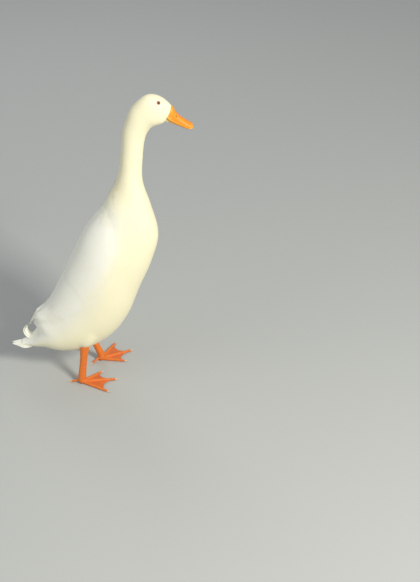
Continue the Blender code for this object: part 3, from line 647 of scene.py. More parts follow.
def outline_points(along, around):
    """The body's middle line and its outline: along it from the rump, and round it in degrees from
    the back line (0) over the left side to the front line (180)."""
    along, around = np.broadcast_arrays(np.asarray(along, float), np.asarray(around, float))
    rows = smooth(SECTION_PLACES, SECTION_ROWS, along)
    back, front = rows[..., 0:2], rows[..., 2:4]
    width, widest, square = rows[..., 4], rows[..., 5], rows[..., 6]
    middle = back + (front - back) * widest[..., None]
    turn = np.radians(around)
    towards = np.where(np.cos(turn)[..., None] > 0, back - middle, middle - front)
    height = np.sign(np.cos(turn)) * np.abs(np.cos(turn)) ** (2 / square)
    across = np.sign(np.sin(turn)) * np.abs(np.sin(turn)) ** (2 / square)
    profile = middle + towards * height[..., None]
    centre = in_frame(middle[..., 0], 0 * width, middle[..., 1])
    return centre, in_frame(profile[..., 0], width * across, profile[..., 1])


class Surface:
    """A surface known on a grid of points, one coordinate along it and one across or round it."""

    def __init__(self, along, around, points, closed=False):
        self.start = (along[0], around[0])
        self.step = (along[1] - along[0], around[1] - around[0])
        self.span = (along[-1] - along[0], 360.0 if closed else around[-1] - around[0])
        self.along, self.around = along, around
        self.points = points
        self.closed = closed
        forward = np.gradient(points, axis=0)
        if closed:
            sideways = (np.roll(points, -1, axis=1) - np.roll(points, 1, axis=1)) / 2
        else:
            sideways = np.gradient(points, axis=1)
        lengths = [np.linalg.norm(steps, axis=-1) for steps in (forward, sideways)]
        self.sizes = np.stack([lengths[0] / self.step[0], lengths[1] / self.step[1]], axis=-1)
        normals = unit(np.cross(forward, sideways))
        for _ in range(3):
            normals = self.blurred(normals)
        self.normals = unit(normals)

    def raised(self, height):
        """The same surface moved outwards by a height for each of its places."""
        rise = height(self.along[:, None], self.around[None, :])
        return Surface(self.along, self.around, self.points + self.normals * rise[..., None], self.closed)

    def blurred(self, grid):
        """Each value of a grid mixed with its neighbours'."""
        edge = "wrap" if self.closed else "edge"
        wide = np.pad(grid, ((0, 0), (1, 1), (0, 0)), mode=edge)
        grid = (wide[:, :-2] + 2 * grid + wide[:, 2:]) / 4
        tall = np.pad(grid, ((1, 1), (0, 0), (0, 0)), mode="edge")
        return (tall[:-2] + 2 * grid + tall[2:]) / 4

    def read(self, grid, along, around):
        """Values of a grid at these places, mixed from the four nearest."""
        rows, columns = grid.shape[:2]
        i = np.clip((along - self.start[0]) / self.step[0], 0, rows - 1.001)
        j = (around - self.start[1]) / self.step[1]
        j = j % columns if self.closed else np.clip(j, 0, columns - 1.001)
        row, column = i.astype(int), np.minimum(j.astype(int), columns - 1)
        beside = (column + 1) % columns
        f, g = (i - row)[..., None], (j - column)[..., None]
        near = grid[row, column] * (1 - g) + grid[row, beside] * g
        far = grid[row + 1, column] * (1 - g) + grid[row + 1, beside] * g
        return near * (1 - f) + far * f

    def place(self, along, around, lift=0.0):
        """Points on the surface, lifted off it, and its outward directions there."""
        along, around = np.broadcast_arrays(np.asarray(along, float), np.asarray(around, float))
        normals = unit(self.read(self.normals, along, around))
        return self.read(self.points, along, around) + normals * np.asarray(lift, float)[..., None], normals

    def unwrap(self, along, around):
        """The place on a flat unwrap of the surface, with a margin round it."""
        across = (around - self.start[1]) / self.span[1]
        if self.closed:
            across = across % 1.0
        return 0.03 + 0.94 * np.stack([across, (along - self.start[0]) / self.span[0]], axis=-1)


def deselect():
    """Leaves nothing selected."""
    bpy.ops.object.select_all(action="DESELECT")


def activate(obj):
    """Selects one object alone."""
    deselect()
    obj.select_set(True)
    bpy.context.view_layer.objects.active = obj


def modify(obj, kind, **settings):
    """Adds a modifier and applies it."""
    activate(obj)
    modifier = obj.modifiers.new(kind.title(), kind)
    for key, value in settings.items():
        setattr(modifier, key, value)
    bpy.ops.object.modifier_apply(modifier=modifier.name)


def edit(obj, step):
    """Runs a step in edit mode with everything selected."""
    activate(obj)
    bpy.ops.object.mode_set(mode="EDIT")
    bpy.ops.mesh.select_all(action="SELECT")
    step()
    bpy.ops.object.mode_set(mode="OBJECT")


def copy_node(node, name):
    """A copy of one of the frame's solids, its loose triangles joined."""
    obj = bpy.data.objects.new(name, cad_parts[node].data.copy())
    bpy.context.scene.collection.objects.link(obj)
    obj.data.materials.clear()
    activate(obj)
    bpy.ops.mesh.customdata_custom_splitnormals_clear()
    edit(obj, lambda: bpy.ops.mesh.remove_doubles(threshold=0.000005))
    return obj


def join(name, objects):
    """One object from several."""
    activate(objects[0])
    for obj in objects:
        obj.select_set(True)
    bpy.ops.object.join()
    obj = bpy.context.object
    obj.name = obj.data.name = name
    return obj


def corners(obj, kind="co"):
    """The positions of an object's vertices, or their directions."""
    values = np.empty(len(obj.data.vertices) * 3)
    obj.data.vertices.foreach_get(kind, values)
    return values.reshape(-1, 3)


def directions(obj):
    """The outward directions of an object's vertices."""
    return corners(obj, "normal")


def move_corners(obj, positions):
    """Puts an object's vertices at new positions."""
    obj.data.vertices.foreach_set("co", np.asarray(positions, float).ravel())
    obj.data.update()


def note(obj, name, values):
    """Keeps a number for each vertex, for the material to read."""
    obj.data.attributes.new(name, "FLOAT", "POINT").data.foreach_set("value", np.asarray(values, float))


def primitive(name, add, **settings):
    """One of Blender's own simple meshes, selected alone."""
    deselect()
    add(**settings)
    obj = bpy.context.object
    obj.name = obj.data.name = name
    return obj


def shaped_sphere(name, rings, sides, shape):
    """A closed body from a sphere: shape gives a point for each part of the way from one pole to the
    other and each turn round it in degrees. Returns it with both for each of its vertices."""
    obj = primitive(name, bpy.ops.mesh.primitive_uv_sphere_add, segments=sides, ring_count=rings, radius=1)
    points = unit(corners(obj))
    part = np.arccos(np.clip(points[:, 2], -1, 1)) / np.pi
    turn = np.round(np.degrees(np.arctan2(points[:, 1], points[:, 0])), 3) % 360
    move_corners(obj, shape(part, turn))
    edit(obj, lambda: bpy.ops.mesh.normals_make_consistent(inside=False))
    return obj, part, turn


def stand(obj, centre, axis):
    """Puts a piece made round its own origin at a place, turned to look along an axis."""
    turn = Vector(axis).to_track_quat("Z", "X").to_matrix().to_4x4()
    obj.data.transform(Matrix.Translation(centre) @ turn)


def dress(obj, material, replaced=()):
    """Gives a finished piece its material, and ties it to the frame."""
    obj.data.materials.clear()
    obj.data.materials.append(MATERIALS[material])
    obj.data.shade_smooth()
    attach(obj, "root")
    if replaced:
        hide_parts(*replaced)


def tone(along, around):
    """How creamy the plumage is: 1 on breast, neck and head, less on back, rump and tail."""
    angle = from_back(around)
    back = (1 - ease(55, 105, angle)) * (1 - ease(0.33, 0.42, along))
    rear = 1 - ease(-0.02, 0.10, along)
    return np.clip(1 - 0.75 * back - 0.45 * rear * (1 - 0.6 * back), 0, 1)


def measure_body(obj):
    """Reads a body's surface by rays from its middle line. A ray that meets nothing near the section's
    outline keeps the point on that outline."""
    along = np.arange(*BODY_GRID)
    around = np.arange(0, 360, 3.75)
    centres, outline = outline_points(along[:, None], around[None, :])
    tree = BVHTree.FromObject(obj, bpy.context.evaluated_depsgraph_get())
    rays = unit(outline - centres)
    points = outline.copy()
    for i in np.nonzero(along > SKIN_READ_FROM)[0]:
        for j in range(len(around)):
            hit, _, _, _ = tree.ray_cast(Vector(centres[i, j]), Vector(rays[i, j]))
            if hit is not None and np.linalg.norm(np.array(hit) - outline[i, j]) < RAY_REACH:
                points[i, j] = hit
    surface = Surface(along, around, points, closed=True)
    for _ in range(2):
        points = surface.blurred(points)
    return Surface(along, around, points, closed=True)


def wing_height(high, low, across):
    """Height of a wing's outer face over the body, from its heights at the upper and lower edges."""
    return (high + (low - high) * across**2) * (1 - WING_EDGE_DROP * np.abs(2 * across - 1) ** 5)


def wing_surface():
    """The outer face of the folded left wing, over the body's surface."""
    body = SURFACES["body"]
    along, across = (np.arange(*grid) for grid in WING_GRID)
    rows = smooth(WING[:, 0], WING, along)[:, None, :]
    lift = wing_height(rows[..., 3], rows[..., 4], np.clip(across, 0, 1))
    around = rows[..., 1] + (rows[..., 2] - rows[..., 1]) * across
    points, _ = body.place(along[:, None] + 0 * around, np.maximum(around, -1.5), lift)
    return Surface(along, across, points)


def vane_tops(surface, along, around, length, half_width, heights, outline, draw, cut):
    """The upper faces of feathers as grids of points, with the surface's directions there."""
    parts, widths = outline
    across = np.linspace(-1, 1, cut["columns"])[None, :]

    def each(values):
        return np.broadcast_to(np.asarray(values, float), len(along))[:, None, None]

    turn = np.radians(each(cut["turn"]))
    forward = parts - cut["rounding"] * each(half_width) / each(length) * across**2 * parts**3
    ragged = draw.uniform(-1, 1, (len(along), 1, cut["columns"])) * cut["ragged"] * parts**4
    forward = forward * each(length) + ragged * each(half_width)
    sideways = each(half_width) * widths * across
    sizes = surface.read(surface.sizes, along, around)
    at = each(along) - (forward * np.cos(turn) - sideways * np.sin(turn)) / sizes[:, 0, None, None]
    beside = each(around) + (sideways * np.cos(turn) + forward * np.sin(turn)) / sizes[:, 1, None, None]
    rise = 1 - (1 - parts) ** cut["rise"]
    root, tip = each(heights[0]), each(heights[1])
    lift = root + (tip - root) * rise + each(cut["lean"]) * across
    lift = lift - each(cut["cup"]) * across**2 * widths - each(cut["droop"]) * parts**6
    top, outward = surface.place(at, beside, lift)
    ridge = cut["shaft"] * (np.abs(across) < 0.01) * (1 - parts)
    return top + outward * ridge[..., None], outward


def vanes(surface, along, around, length, half_width, heights, outline, draw, **cut):
    """Feathers over a surface, as closed thin blades: each starts at its root and follows the surface
    towards the tail, from the first height over it to the second. Returns the parts of their mesh."""
    cut = {**VANE, **cut}
    parts, widths = (np.asarray(values, float)[:, None] for values in OUTLINES[outline])
    rows, columns = len(parts), cut["columns"]
    top, outward = vane_tops(
        surface, along, around, length, half_width, heights, (parts, widths), draw, cut
    )
    under = (top - outward * cut["thickness"])[:, 1:-1, 1:-1]
    slope = unit(np.cross(-np.gradient(top, axis=1), np.gradient(top, axis=2)))
    shading = unit(slope * (1 - cut["smoothness"]) + outward * cut["smoothness"])
    count, size = len(along), rows * columns
    inner = (rows - 2) * (columns - 2)
    points = np.concatenate([top.reshape(count, -1, 3), under.reshape(count, -1, 3)], axis=1)
    # Both faces share the rim, and the lower one has inner points of its own.
    index = np.arange(size).reshape(rows, columns)
    below = index.copy()
    below[1:-1, 1:-1] = size + np.arange(inner).reshape(rows - 2, columns - 2)
    upper_cells = vane_cells(index, False)
    lower_cells = vane_cells(index, True)
    faces = np.concatenate([upper_cells, vane_cells(below, True)])
    grid_faces = np.concatenate([upper_cells, lower_cells])
    shading, slope = shading.reshape(count, size, 3), slope.reshape(count, size, 3)
    turned = np.concatenate([shading[:, upper_cells], -slope[:, lower_cells]], axis=1)
    across = np.linspace(-1, 1, columns)[None, :]
    local = np.stack(np.broadcast_arrays(0.5 + across / 2, parts), axis=-1).reshape(size, 2)
    vane_uv = np.broadcast_to(local[grid_faces], (count, *grid_faces.shape, 2))
    bake_uv = surface.unwrap(along, around)[:, None, None, :] + (vane_uv - 0.5) * BAKE_PATCH
    tones = np.broadcast_to(np.asarray(cut["tone"], float), count)
    result = {
        "points": points.reshape(-1, 3),
        "faces": (faces[None] + np.arange(count)[:, None, None] * (size + inner)).reshape(-1, 4),
        "normals": turned.reshape(-1, 4, 3),
        "vane": vane_uv.reshape(-1, 4, 2),
        "bake": bake_uv.reshape(-1, 4, 2),
        "tone": np.repeat(tones, size + inner),
        "rim": np.tile(rim_order(rows, columns, size + inner), count),
    }
    if cut["side"] == "right":
        result["points"] = mirrored(result["points"], "right")
        result["normals"] = result["normals"] * (1, -1, 1)
        for key in ("faces", "normals", "vane", "bake"):
            result[key] = np.roll(result[key][:, ::-1], 1, axis=1)
    return result


def vane_cells(grid, downward):
    """The four-sided faces of a feather's grid. Two corners start at another vertex, so that no
    triangle lies wholly on the rim, where the upper and the lower face would coincide."""
    around = [grid[:-1, :-1], grid[:-1, 1:], grid[1:, 1:], grid[1:, :-1]]
    if downward:
        around = [around[0], around[3], around[2], around[1]]
    cells = np.stack(around, axis=-1)
    for corner in ((-1, 0), (0, -1)):
        cells[corner] = np.roll(cells[corner], -1)
    return cells.reshape(-1, 4)


def rim_order(rows, columns, per_vane):
    """The order of each of a feather's vertices round its rim, counted from 1, and 0 off the rim."""
    order = np.zeros(per_vane, int)
    index = np.arange(rows * columns).reshape(rows, columns)
    rim = np.concatenate([index[0], index[1:, -1], index[-1, -2::-1], index[-2:0:-1, 0]])
    order[rim] = 1 + np.arange(len(rim))
    return order


def sharpen_rims(mesh, rim):
    """Marks the edge round each feather as sharp, so that its two faces are shaded apart."""
    ends = np.empty(len(mesh.edges) * 2, int)
    mesh.edges.foreach_get("vertices", ends)
    first, second = rim[ends].reshape(-1, 2).T
    beside = np.abs(first - second)
    sharp = (first > 0) & (second > 0) & ((beside == 1) | (np.minimum(first, second) == 1))
    mesh.attributes.new("sharp_edge", "BOOLEAN", "EDGE").data.foreach_set("value", sharp)


def feather_object(name, batches):
    """One mesh from several batches of feathers."""
    offsets = np.cumsum([0] + [len(batch["points"]) for batch in batches])
    faces = np.concatenate([batch["faces"] + offset for batch, offset in zip(batches, offsets)])
    whole = {key: np.concatenate([batch[key] for batch in batches]) for key in batches[0] if key != "faces"}
    mesh = bpy.data.meshes.new(name)
    mesh.vertices.add(len(whole["points"]))
    mesh.vertices.foreach_set("co", whole["points"].ravel())
    mesh.loops.add(faces.size)
    mesh.loops.foreach_set("vertex_index", faces.ravel())
    mesh.polygons.add(len(faces))
    mesh.polygons.foreach_set("loop_start", np.arange(len(faces)) * 4)
    mesh.update(calc_edges=True)
    mesh.shade_smooth()
    sharpen_rims(mesh, whole["rim"])
    mesh.uv_layers.new(name="Vane").data.foreach_set("uv", whole["vane"].ravel())
    mesh.uv_layers.new(name="OFBake").data.foreach_set("uv", whole["bake"].ravel())
    mesh.attributes.new("tone", "FLOAT", "POINT").data.foreach_set("value", whole["tone"])
    bent = mesh.attributes.new("custom_normal", "FLOAT_VECTOR", "CORNER")
    bent.data.foreach_set("vector", whole["normals"].ravel())
    mesh.update()
    obj = bpy.data.objects.new(name, mesh)
    bpy.context.scene.collection.objects.link(obj)
    return obj


def coat_sizes(along):
    """The coat's sizes at a distance from the rump."""
    return [np.interp(along, COAT[:, 0], COAT[:, column]) for column in range(1, COAT.shape[1])]


def wing_edges(along):
    """Degrees from the back line and height of a wing's upper and lower edges."""
    return [np.interp(along, WING[:, 0], WING[:, column]) for column in range(1, WING.shape[1])]


def under_wing(along, around):
    """Where the folded wings hide the coat."""
    angle = from_back(around)
    upper, lower, _, _ = wing_edges(along)
    rear, added, front = COAT_HIDDEN
    rear = rear + added * ease(0.40, 0.62, (angle - upper) / (lower - upper))
    above, below = COAT_HIDDEN_MARGINS
    return (along > rear) & (along < front) & (angle > upper + above) & (angle < lower - below)


def swell(along, around):
    """How far the coat stands over the body: as high as the wings between them, a little lower under
    them, and sloping down to the body below their lower edges and behind them."""
    angle = from_back(around)
    upper, lower, high, low = wing_edges(along)
    across = np.clip((angle - upper) / (lower - upper), 0, 1)
    rear = 1 - ease(0.015, 0.070, along)
    height = np.minimum(wing_height(high, low, across), SWELL_LIMIT + SWELL_AT_REAR * rear)
    height = np.maximum(height - SWELL_GAP * ease(0.05, 0.15, across), 0)
    hips = 1 - ease(0.10, 0.18, along)
    beyond = ease(2 - 7 * hips, 24 - 10 * hips + 34 * rear, angle - lower)
    return height * (1 - beyond) * ease(-0.010, 0.008, along)


def ruffle(along, around):
    """Where the feathers stand up a little, on both sides of the back of the neck's base."""
    angle = from_back(around)
    lengthwise = ease(0.300, 0.350, along) * (1 - ease(0.400, 0.450, along))
    return lengthwise * ease(4, 18, angle) * (1 - ease(36, 58, angle))


def coat_roots(surface, start, end, density, disorder, draw):
    """Roots in staggered rows round the body, evenly spaced over its surface."""
    around = np.arange(0, 360.1, 2.5)
    found = []
    along, odd = start, 0.0
    while along < end:
        row_step, spacing = coat_sizes(along)[:2]
        ring = surface.place(along, around)[0]
        lengths = path_lengths(ring)
        count = max(8, round(lengths[-1] / spacing * density))
        steps = (np.arange(count) + odd + draw.uniform(-0.14, 0.14, count) * disorder) / count
        turns = np.interp((steps % 1.0) * lengths[-1], lengths, around)
        jitter = draw.uniform(-0.16, 0.16, count) * row_step * disorder
        found.append(np.stack([along + jitter, turns], axis=-1))
        along += row_step / density
        odd = 0.5 - odd
    return np.concatenate(found)


def behind_feather_line(points):
    """Whether points are behind the line where the feathers of the face end at the bill."""
    heights, places = zip(*FEATHER_LINE)
    return points[:, 0] < np.interp(points[:, 2], heights, places) + SHIFT[0] - 0.0004


def eye_place(side):
    """The centre of an eye, and the direction straight out of the head there."""
    return mirrored(EYE + EYE_MOVED + SHIFT, side), unit(LID_AXIS * (1, SIDES[side], 1))


def eye_distance(points):
    """Distance of points from the nearer eye's axis, a metre for those on the other side of the head."""
    nearest = np.full(len(points), 1.0)
    for side in SIDES:
        centre, axis = eye_place(side)
        offset = points - centre
        depth = offset @ axis
        away = np.linalg.norm(offset - depth[:, None] * axis, axis=1)
        nearest = np.minimum(nearest, np.where(depth > -0.002, away, 1.0))
    return nearest


def grow_coat(name, start, end, outline, columns):
    """One piece of the small feathers that cover the body."""
    coat = bpy.context.scene.drake_coat
    body = SURFACES["coat"]
    draw = np.random.default_rng(coat.seed + list(COAT_PIECES).index(name))
    roots = coat_roots(body, start, end, coat.density, coat.disorder, draw)
    roots = roots[~under_wing(roots[:, 0], roots[:, 1])]
    points = body.place(roots[:, 0], roots[:, 1])[0]
    away = eye_distance(points)
    root_gap, passing_gap, cut_gap = LID_GAPS
    keep = behind_feather_line(points) & (away > LID_RADIUS + root_gap)
    roots, away = roots[keep], away[keep]
    along, around = roots[:, 0], roots[:, 1]
    _, _, length, half_width, depth = coat_sizes(along)
    count = len(along)
    length = length * draw.uniform(0.90, 1.10, count)
    sizes = body.read(body.sizes, along, around)
    tips = body.place(along - length / sizes[:, 0], around)[0]
    halfway = body.place(along - length / sizes[:, 0] / 2, around)[0]
    crossing = np.minimum(eye_distance(tips), eye_distance(halfway)) < LID_RADIUS + passing_gap
    cut_short = np.clip(away - LID_RADIUS - cut_gap, SHORTEST_FEATHER, length)
    length = np.where(crossing, cut_short, length)
    half_width = half_width * draw.uniform(0.92, 1.10, count)
    ruffled = ruffle(along, around) * draw.uniform(0, 1, count) ** 2
    heights = (-depth * 1.15, depth * draw.uniform(-0.008, 0.008, count) + RUFFLE_HEIGHT * ruffled)
    batch = vanes(
        body,
        along,
        around,
        length,
        half_width,
        heights,
        outline,
        draw,
        columns=columns,
        thickness=coat.thickness * (0.6 if outline == "face" else 1.0),
        smoothness=coat.smoothness,
        turn=draw.normal(0, 3, count) * coat.disorder,
        lean=draw.normal(0, 0.006, count) * half_width,
        cup=half_width * 0.018,
        rise=COAT_RISE[outline],
        droop=(0.00006 - 0.00004 * ease(0.008, 0.018, length)) * (1 - np.clip(ruffled * 3, 0, 1)),
        rounding=0.10,
        ragged=0.06,
        tone=np.clip(tone(along, around) + draw.normal(0, 0.05, count), 0, 1),
    )
    return feather_object(name, [batch])


def wing_feathers(side):
    """All feathers of one folded wing, from the flight feathers up to the small coverts."""
    coat = bpy.context.scene.drake_coat
    surface = SURFACES["wing"]
    draw = np.random.default_rng(coat.seed + 20 + SIDES[side])
    batches = []
    for (first, last), rows, count, (upper, lower), lengths, half_width, outline in WING_TRACTS.values():
        long, short = lengths
        flight = outline in ("flight", "pointed")
        cut = FLIGHT_VANE if flight else COVERT_VANE
        for row in range(rows):
            root = first + (last - first) * row / max(1, rows - 1)
            across = upper + (lower - upper) * (np.arange(count) + 0.5 + 0.5 * (row % 2)) / count
            across = across + draw.normal(0, 0.010, count)
            reach = np.clip(across, 0, 1)
            length = (long + (short - long) * reach) * draw.uniform(0.95, 1.05, count)
            along = root + draw.normal(0, 0.0012, count) - 0.006 * reach
            room = surface.read(surface.sizes, along, across)[:, 1] * (lower - upper) / count
            if flight:
                wide = np.maximum(half_width, room * 0.7)
                tones = WING_TONE
            else:
                wide = np.clip(half_width, room * 0.62, room * 1.35)
                top, bottom, _, _ = wing_edges(along)
                body_tone = tone(along, top + (bottom - top) * reach)
                tones = WING_TONE + (body_tone - WING_TONE) * ease(0.72, 1.04, reach)
            height = (-0.0001 if flight else 0.0) + draw.normal(0, 0.00001, count)
            batches.append(
                vanes(
                    surface,
                    along,
                    across,
                    length,
                    wide,
                    (-0.0012, height),
                    outline,
                    draw,
                    thickness=coat.thickness * (1.4 if flight else 1.0),
                    turn=draw.normal(-2 if flight else 0, 2.5, count),
                    tone=np.clip(tones + draw.normal(0, 0.03, count), 0, 1),
                    side=side,
                    **cut,
                )
            )
    return batches


def wing_pad(side):
    """The solid part of a folded wing under its feathers."""
    surface = SURFACES["wing"]
    low, high = WING_PAD_ENDS
    deep = WING_PAD_DEPTH + WING_PAD_THICKNESS

    def shape(part, turn):
        along = low + (high - low) * part
        across = 0.47 - 0.51 * np.cos(np.radians(turn))
        outside = np.sin(np.radians(turn)) > 0
        closing = np.sin(np.pi * np.clip(part, 0, 1)) ** 0.25
        depth = np.where(outside, -WING_PAD_DEPTH, -deep) - (1 - closing) * 0.003
        points, _ = surface.place(along, across, depth)
        return mirrored(points, side)

    return shaped_sphere(f"wing_core_{side}", 48, 48, shape)[0]


def tail_surface():
    """The plane of the tail fan, arched a little across."""
    along = np.arange(-0.070, 0.0101, 0.002)
    across = np.arange(-0.024, 0.0241, 0.002)
    a, b = np.meshgrid(along, across, indexing="ij")
    height = TAIL_ROOT[1] - TAIL_SLOPE * a - TAIL_ARCH * b**2
    return Surface(along, across, in_frame(TAIL_ROOT[0] + a, b, height))


def curl_surface(offset, radius, sweep, flare):
    """The scroll that one curled feather follows."""
    length = math.radians(sweep) * radius * (1 - CURL_TIGHTENING / 2)
    along = np.linspace(-length, 0, 40)
    across = np.linspace(-0.007, 0.007, 9)
    a, b = np.meshgrid(along, across, indexing="ij")
    part = -a / length
    turns = np.radians(CURL_START - sweep * part)
    reach = radius * (1 - CURL_TIGHTENING * part) + flare * (0.45 + 0.55 * ease(0, 0.35, part)) * b
    x, z = CURL_CENTRE[0] + reach * np.cos(turns), CURL_CENTRE[1] + reach * np.sin(turns)
    return Surface(along, across, in_frame(x, offset + b, z)), length


def tail_feathers():
    """The fan of the tail, and the drake's curled feathers."""
    coat = bpy.context.scene.drake_coat
    draw = np.random.default_rng(coat.seed + 30)
    fan = tail_surface()
    batches = []
    step = np.arange(TAIL_SIDE) / (TAIL_SIDE - 1)
    root, tip, length, height = (first + added * step for first, added in TAIL_FAN.values())
    shorter, lower = TAIL_RIGHT
    for sign in (1, -1):
        if sign < 0:
            length, height = length - shorter, height - lower
        batches.append(
            vanes(
                fan,
                np.zeros(TAIL_SIDE),
                sign * root,
                length * draw.uniform(0.98, 1.01, TAIL_SIDE),
                TAIL_HALF_WIDTH,
                (height, height),
                "tail",
                draw,
                turn=np.degrees(np.arctan2(sign * (tip - root), length)),
                lean=-sign * 0.0003,
                tone=WING_TONE,
                **TAIL_VANE,
            )
        )
    middle = np.zeros(1)
    for curl in CURLS:
        scroll, length = curl_surface(*curl)
        size = (length * 0.995, CURL_HALF_WIDTH)
        batches.append(vanes(scroll, middle, middle, *size, (0.0, 0.0), "curl", draw, **CURL_VANE))
    return batches


def bill_rows(part):
    """Sections of the bill, part of the way from its base to its tip."""
    rows = np.array([[*culmen, *mouth, *size] for culmen, mouth, *size in BILL.values()])
    places = path_lengths(rows[:, 2:4])
    return smooth(places / places[-1], rows, part)


def upper_bill_shape(part, turn):
    """The upper bill: an arch from one edge of the mouth to the other, closed by a hollow palate."""
    rows = bill_rows(part)
    culmen, mouth, width = rows[:, 0:2], rows[:, 2:4], rows[:, 4]
    angle = np.radians(turn)
    over = turn <= 180
    cosine = np.cos(angle)
    across = np.where(over, np.sign(cosine) * np.abs(cosine) ** 0.8, cosine * 0.96)
    height = np.where(over, np.abs(np.sin(angle)) ** 0.85, 0.07 * np.abs(np.sin(angle)))
    tip = np.clip((1 - part) / 0.05, 0, 1) ** 0.5
    profile = mouth + (culmen - mouth) * (height * tip)[:, None]
    return in_frame(profile[:, 0], width * across * tip, profile[:, 1])


def lower_bill_shape(part, turn):
    """The lower bill: a flat top just under the mouth line and a rounded keel."""
    rows = bill_rows(part * LOWER_BILL_REACH)
    culmen, mouth, width, depth = rows[:, 0:2], rows[:, 2:4], rows[:, 4] * LOWER_BILL_WIDTH, rows[:, 5]
    up = unit(culmen - mouth)
    angle = np.radians(turn)
    tip = np.clip((1 - part) / 0.06, 0, 1) ** 0.5
    below = turn <= 180
    height = np.where(below, -depth * np.abs(np.sin(angle)) ** 0.7, 0.0) * tip - 0.0003
    profile = mouth + up * height[:, None]
    return in_frame(profile[:, 0], width * np.cos(angle) * tip, profile[:, 1])


def bill_notes(obj, **notes):
    """What the bill's material reads: how far along and up it, its edges, and the nostrils' painted shade."""
    for name, values in notes.items():
        note(obj, f"bill_{name}", values)


def ridge(distance, width):
    """A soft ridge: 1 on its line and 0 from its width outwards."""
    return 1 - ease(0, width, np.abs(distance))


def arch(turn):
    """Height round the outside of a half of the bill: 0 at the mouth, 1 at the middle line, 0 inside."""
    return np.where(turn <= 180, np.sin(np.radians(turn)), 0)


def make_upper_bill():
    """The upper bill with its ridge, its nostrils and the raised nail at its tip."""
    obj, part, turn = shaped_sphere("upper_bill", 120, 96, upper_bill_shape)
    outside = turn <= 180
    up = arch(turn)
    from_ridge = np.where(outside, np.abs(turn - 90), 200)
    hole, rim = np.zeros(len(part)), np.zeros(len(part))
    for sign in (1, -1):
        middle = 90 - sign * (90 - NOSTRIL[1])
        x = (part - NOSTRIL[0]) * BILL_LENGTH / NOSTRIL_SIZE[0]
        y = (turn - middle) * math.radians(1) * BILL_RADIUS / NOSTRIL_SIZE[1]
        distance = np.where(outside, np.hypot(x, y - 0.3 * x * sign), 9)
        hole = np.maximum(hole, 1 - ease(0.55, 1.05, distance))
        rim = np.maximum(rim, ridge(distance - 1.25, 0.55))
    nail = ridge(np.hypot((part - 0.92) / 0.070, from_ridge / 42), 1.0) * ease(0.80, 0.86, part)
    edge = (1 - ease(0.05, 0.16, up)) * outside
    lift = rim * NOSTRIL_RIM - hole * NOSTRIL_SIZE[2]
    lift = lift + np.sqrt(np.clip(nail, 0, 1)) * NAIL_HEIGHT + edge * MOUTH_EDGE
    lift = lift * ease(0, 0.03, part)
    move_corners(obj, corners(obj) + directions(obj) * lift[:, None])
    # hole also marks where the material paints shade in the nostrils
    bill_notes(obj, along=part, up=up, edge=1 - ease(0.06, 0.22, up), hole=hole)
    return obj


def make_lower_bill():
    """The lower bill with the groove along its underside."""
    obj, part, turn = shaped_sphere("lower_bill", 80, 64, lower_bill_shape)
    up = arch(turn)
    groove = ridge(turn - 90, 26) * (1 - ease(0.55, 0.8, part))
    move_corners(obj, corners(obj) - directions(obj) * (groove * GROOVE_DEPTH)[:, None])
    count = len(part)
    bill_notes(obj, along=part, up=up, edge=np.full(count, 0.8), hole=np.zeros(count))
    return obj


def scale_plates(distance, pitch):
    """Height of plates that follow each other at this pitch, 0 in the grooves and 1 between them."""
    phase = np.abs((distance / pitch) % 1.0 - 0.5) * 2
    return 1 - ease(0.72, 1.0, phase)


def make_leg(side):
    """One bare leg and webbed foot, with the plates of shank and toes. The webs and the grooves
    between the plates are noted for the material, which paints shade into the grooves."""
    parts = [copy_node(f"{name}_{side}", f"{name}_copy_{side}") for name in LEG_SWELLING]
    for obj, strength in zip(parts, LEG_SWELLING.values()):
        modify(obj, "DISPLACE", strength=strength, mid_level=0.0)
    leg = join(f"leg_{side}", parts)
    modify(leg, "REMESH", mode="VOXEL", voxel_size=LEG_VOXEL)
    modify(leg, "SMOOTH", factor=0.5, iterations=5)
    points, normals = corners(leg), directions(leg)
    hock, ankle, heading = FEET[side]
    hock = np.array(hock) + SHIFT
    ankle = np.array([*ankle, ANKLE_HEIGHT]) + SHIFT
    up = (points - ankle) @ unit(hock - ankle)
    angle = math.radians(SIDES[side] * heading)
    facing = normals @ np.array([math.cos(angle), math.sin(angle), 0])
    on_shank = ease(-0.004, 0.004, up)
    front = on_shank * ease(0.15, 0.5, facing)
    plates = scale_plates(up, SHANK_PLATE)
    height, groove = front * plates, front * (1 - plates)
    web = np.ones(len(points))
    for turn, length in TOES.values():
        angle = math.radians(SIDES[side] * (heading + turn))
        way = np.array([math.cos(angle), math.sin(angle)])
        offset = points[:, :2] - ankle[:2]
        along = offset @ way
        beside = np.abs(offset @ np.array([-way[1], way[0]]))
        radius = np.interp(along / length, (0, 1), TOE_RADII)
        on_toe = (1 - ease(0.75, 1.15, beside / radius)) * ease(-0.004, 0.002, along) * (1 - on_shank)
        web = np.minimum(web, 1 - on_toe)
        top = on_toe * ease(0.3, 0.8, normals[:, 2])
        plates = scale_plates(along, TOE_PLATE)
        height = np.maximum(height, top * plates)
        groove = np.maximum(groove, top * (1 - plates))
    web = web * (1 - ease(0.0, 0.004, up)) * ease(0.2, 0.7, np.abs(normals[:, 2]))
    moved = points + normals * (height * PLATE_HEIGHT)[:, None]
    moved[:, 2] = np.maximum(moved[:, 2], 0.0)
    move_corners(leg, moved)
    note(leg, "web", web)
    note(leg, "groove", groove)
    return leg


class Step:
    """What all steps of the making share."""

    bl_options = {"REGISTER", "UNDO"}


class DRAKE_OT_materials(Step, bpy.types.Operator):
    """Make the finishes of plumage, bill, legs, claws, eyes and floor"""

    bl_idname = "drake.materials"
    bl_label = "Materials"

    def execute(self, context):
        colours = context.scene.drake_colours
        makers = (feather_material, skin_material, bill_material, leg_material, claw_material, eye_material)
        for make in (*makers, lid_material, floor_material):
            make(colours)
        return {"FINISHED"}


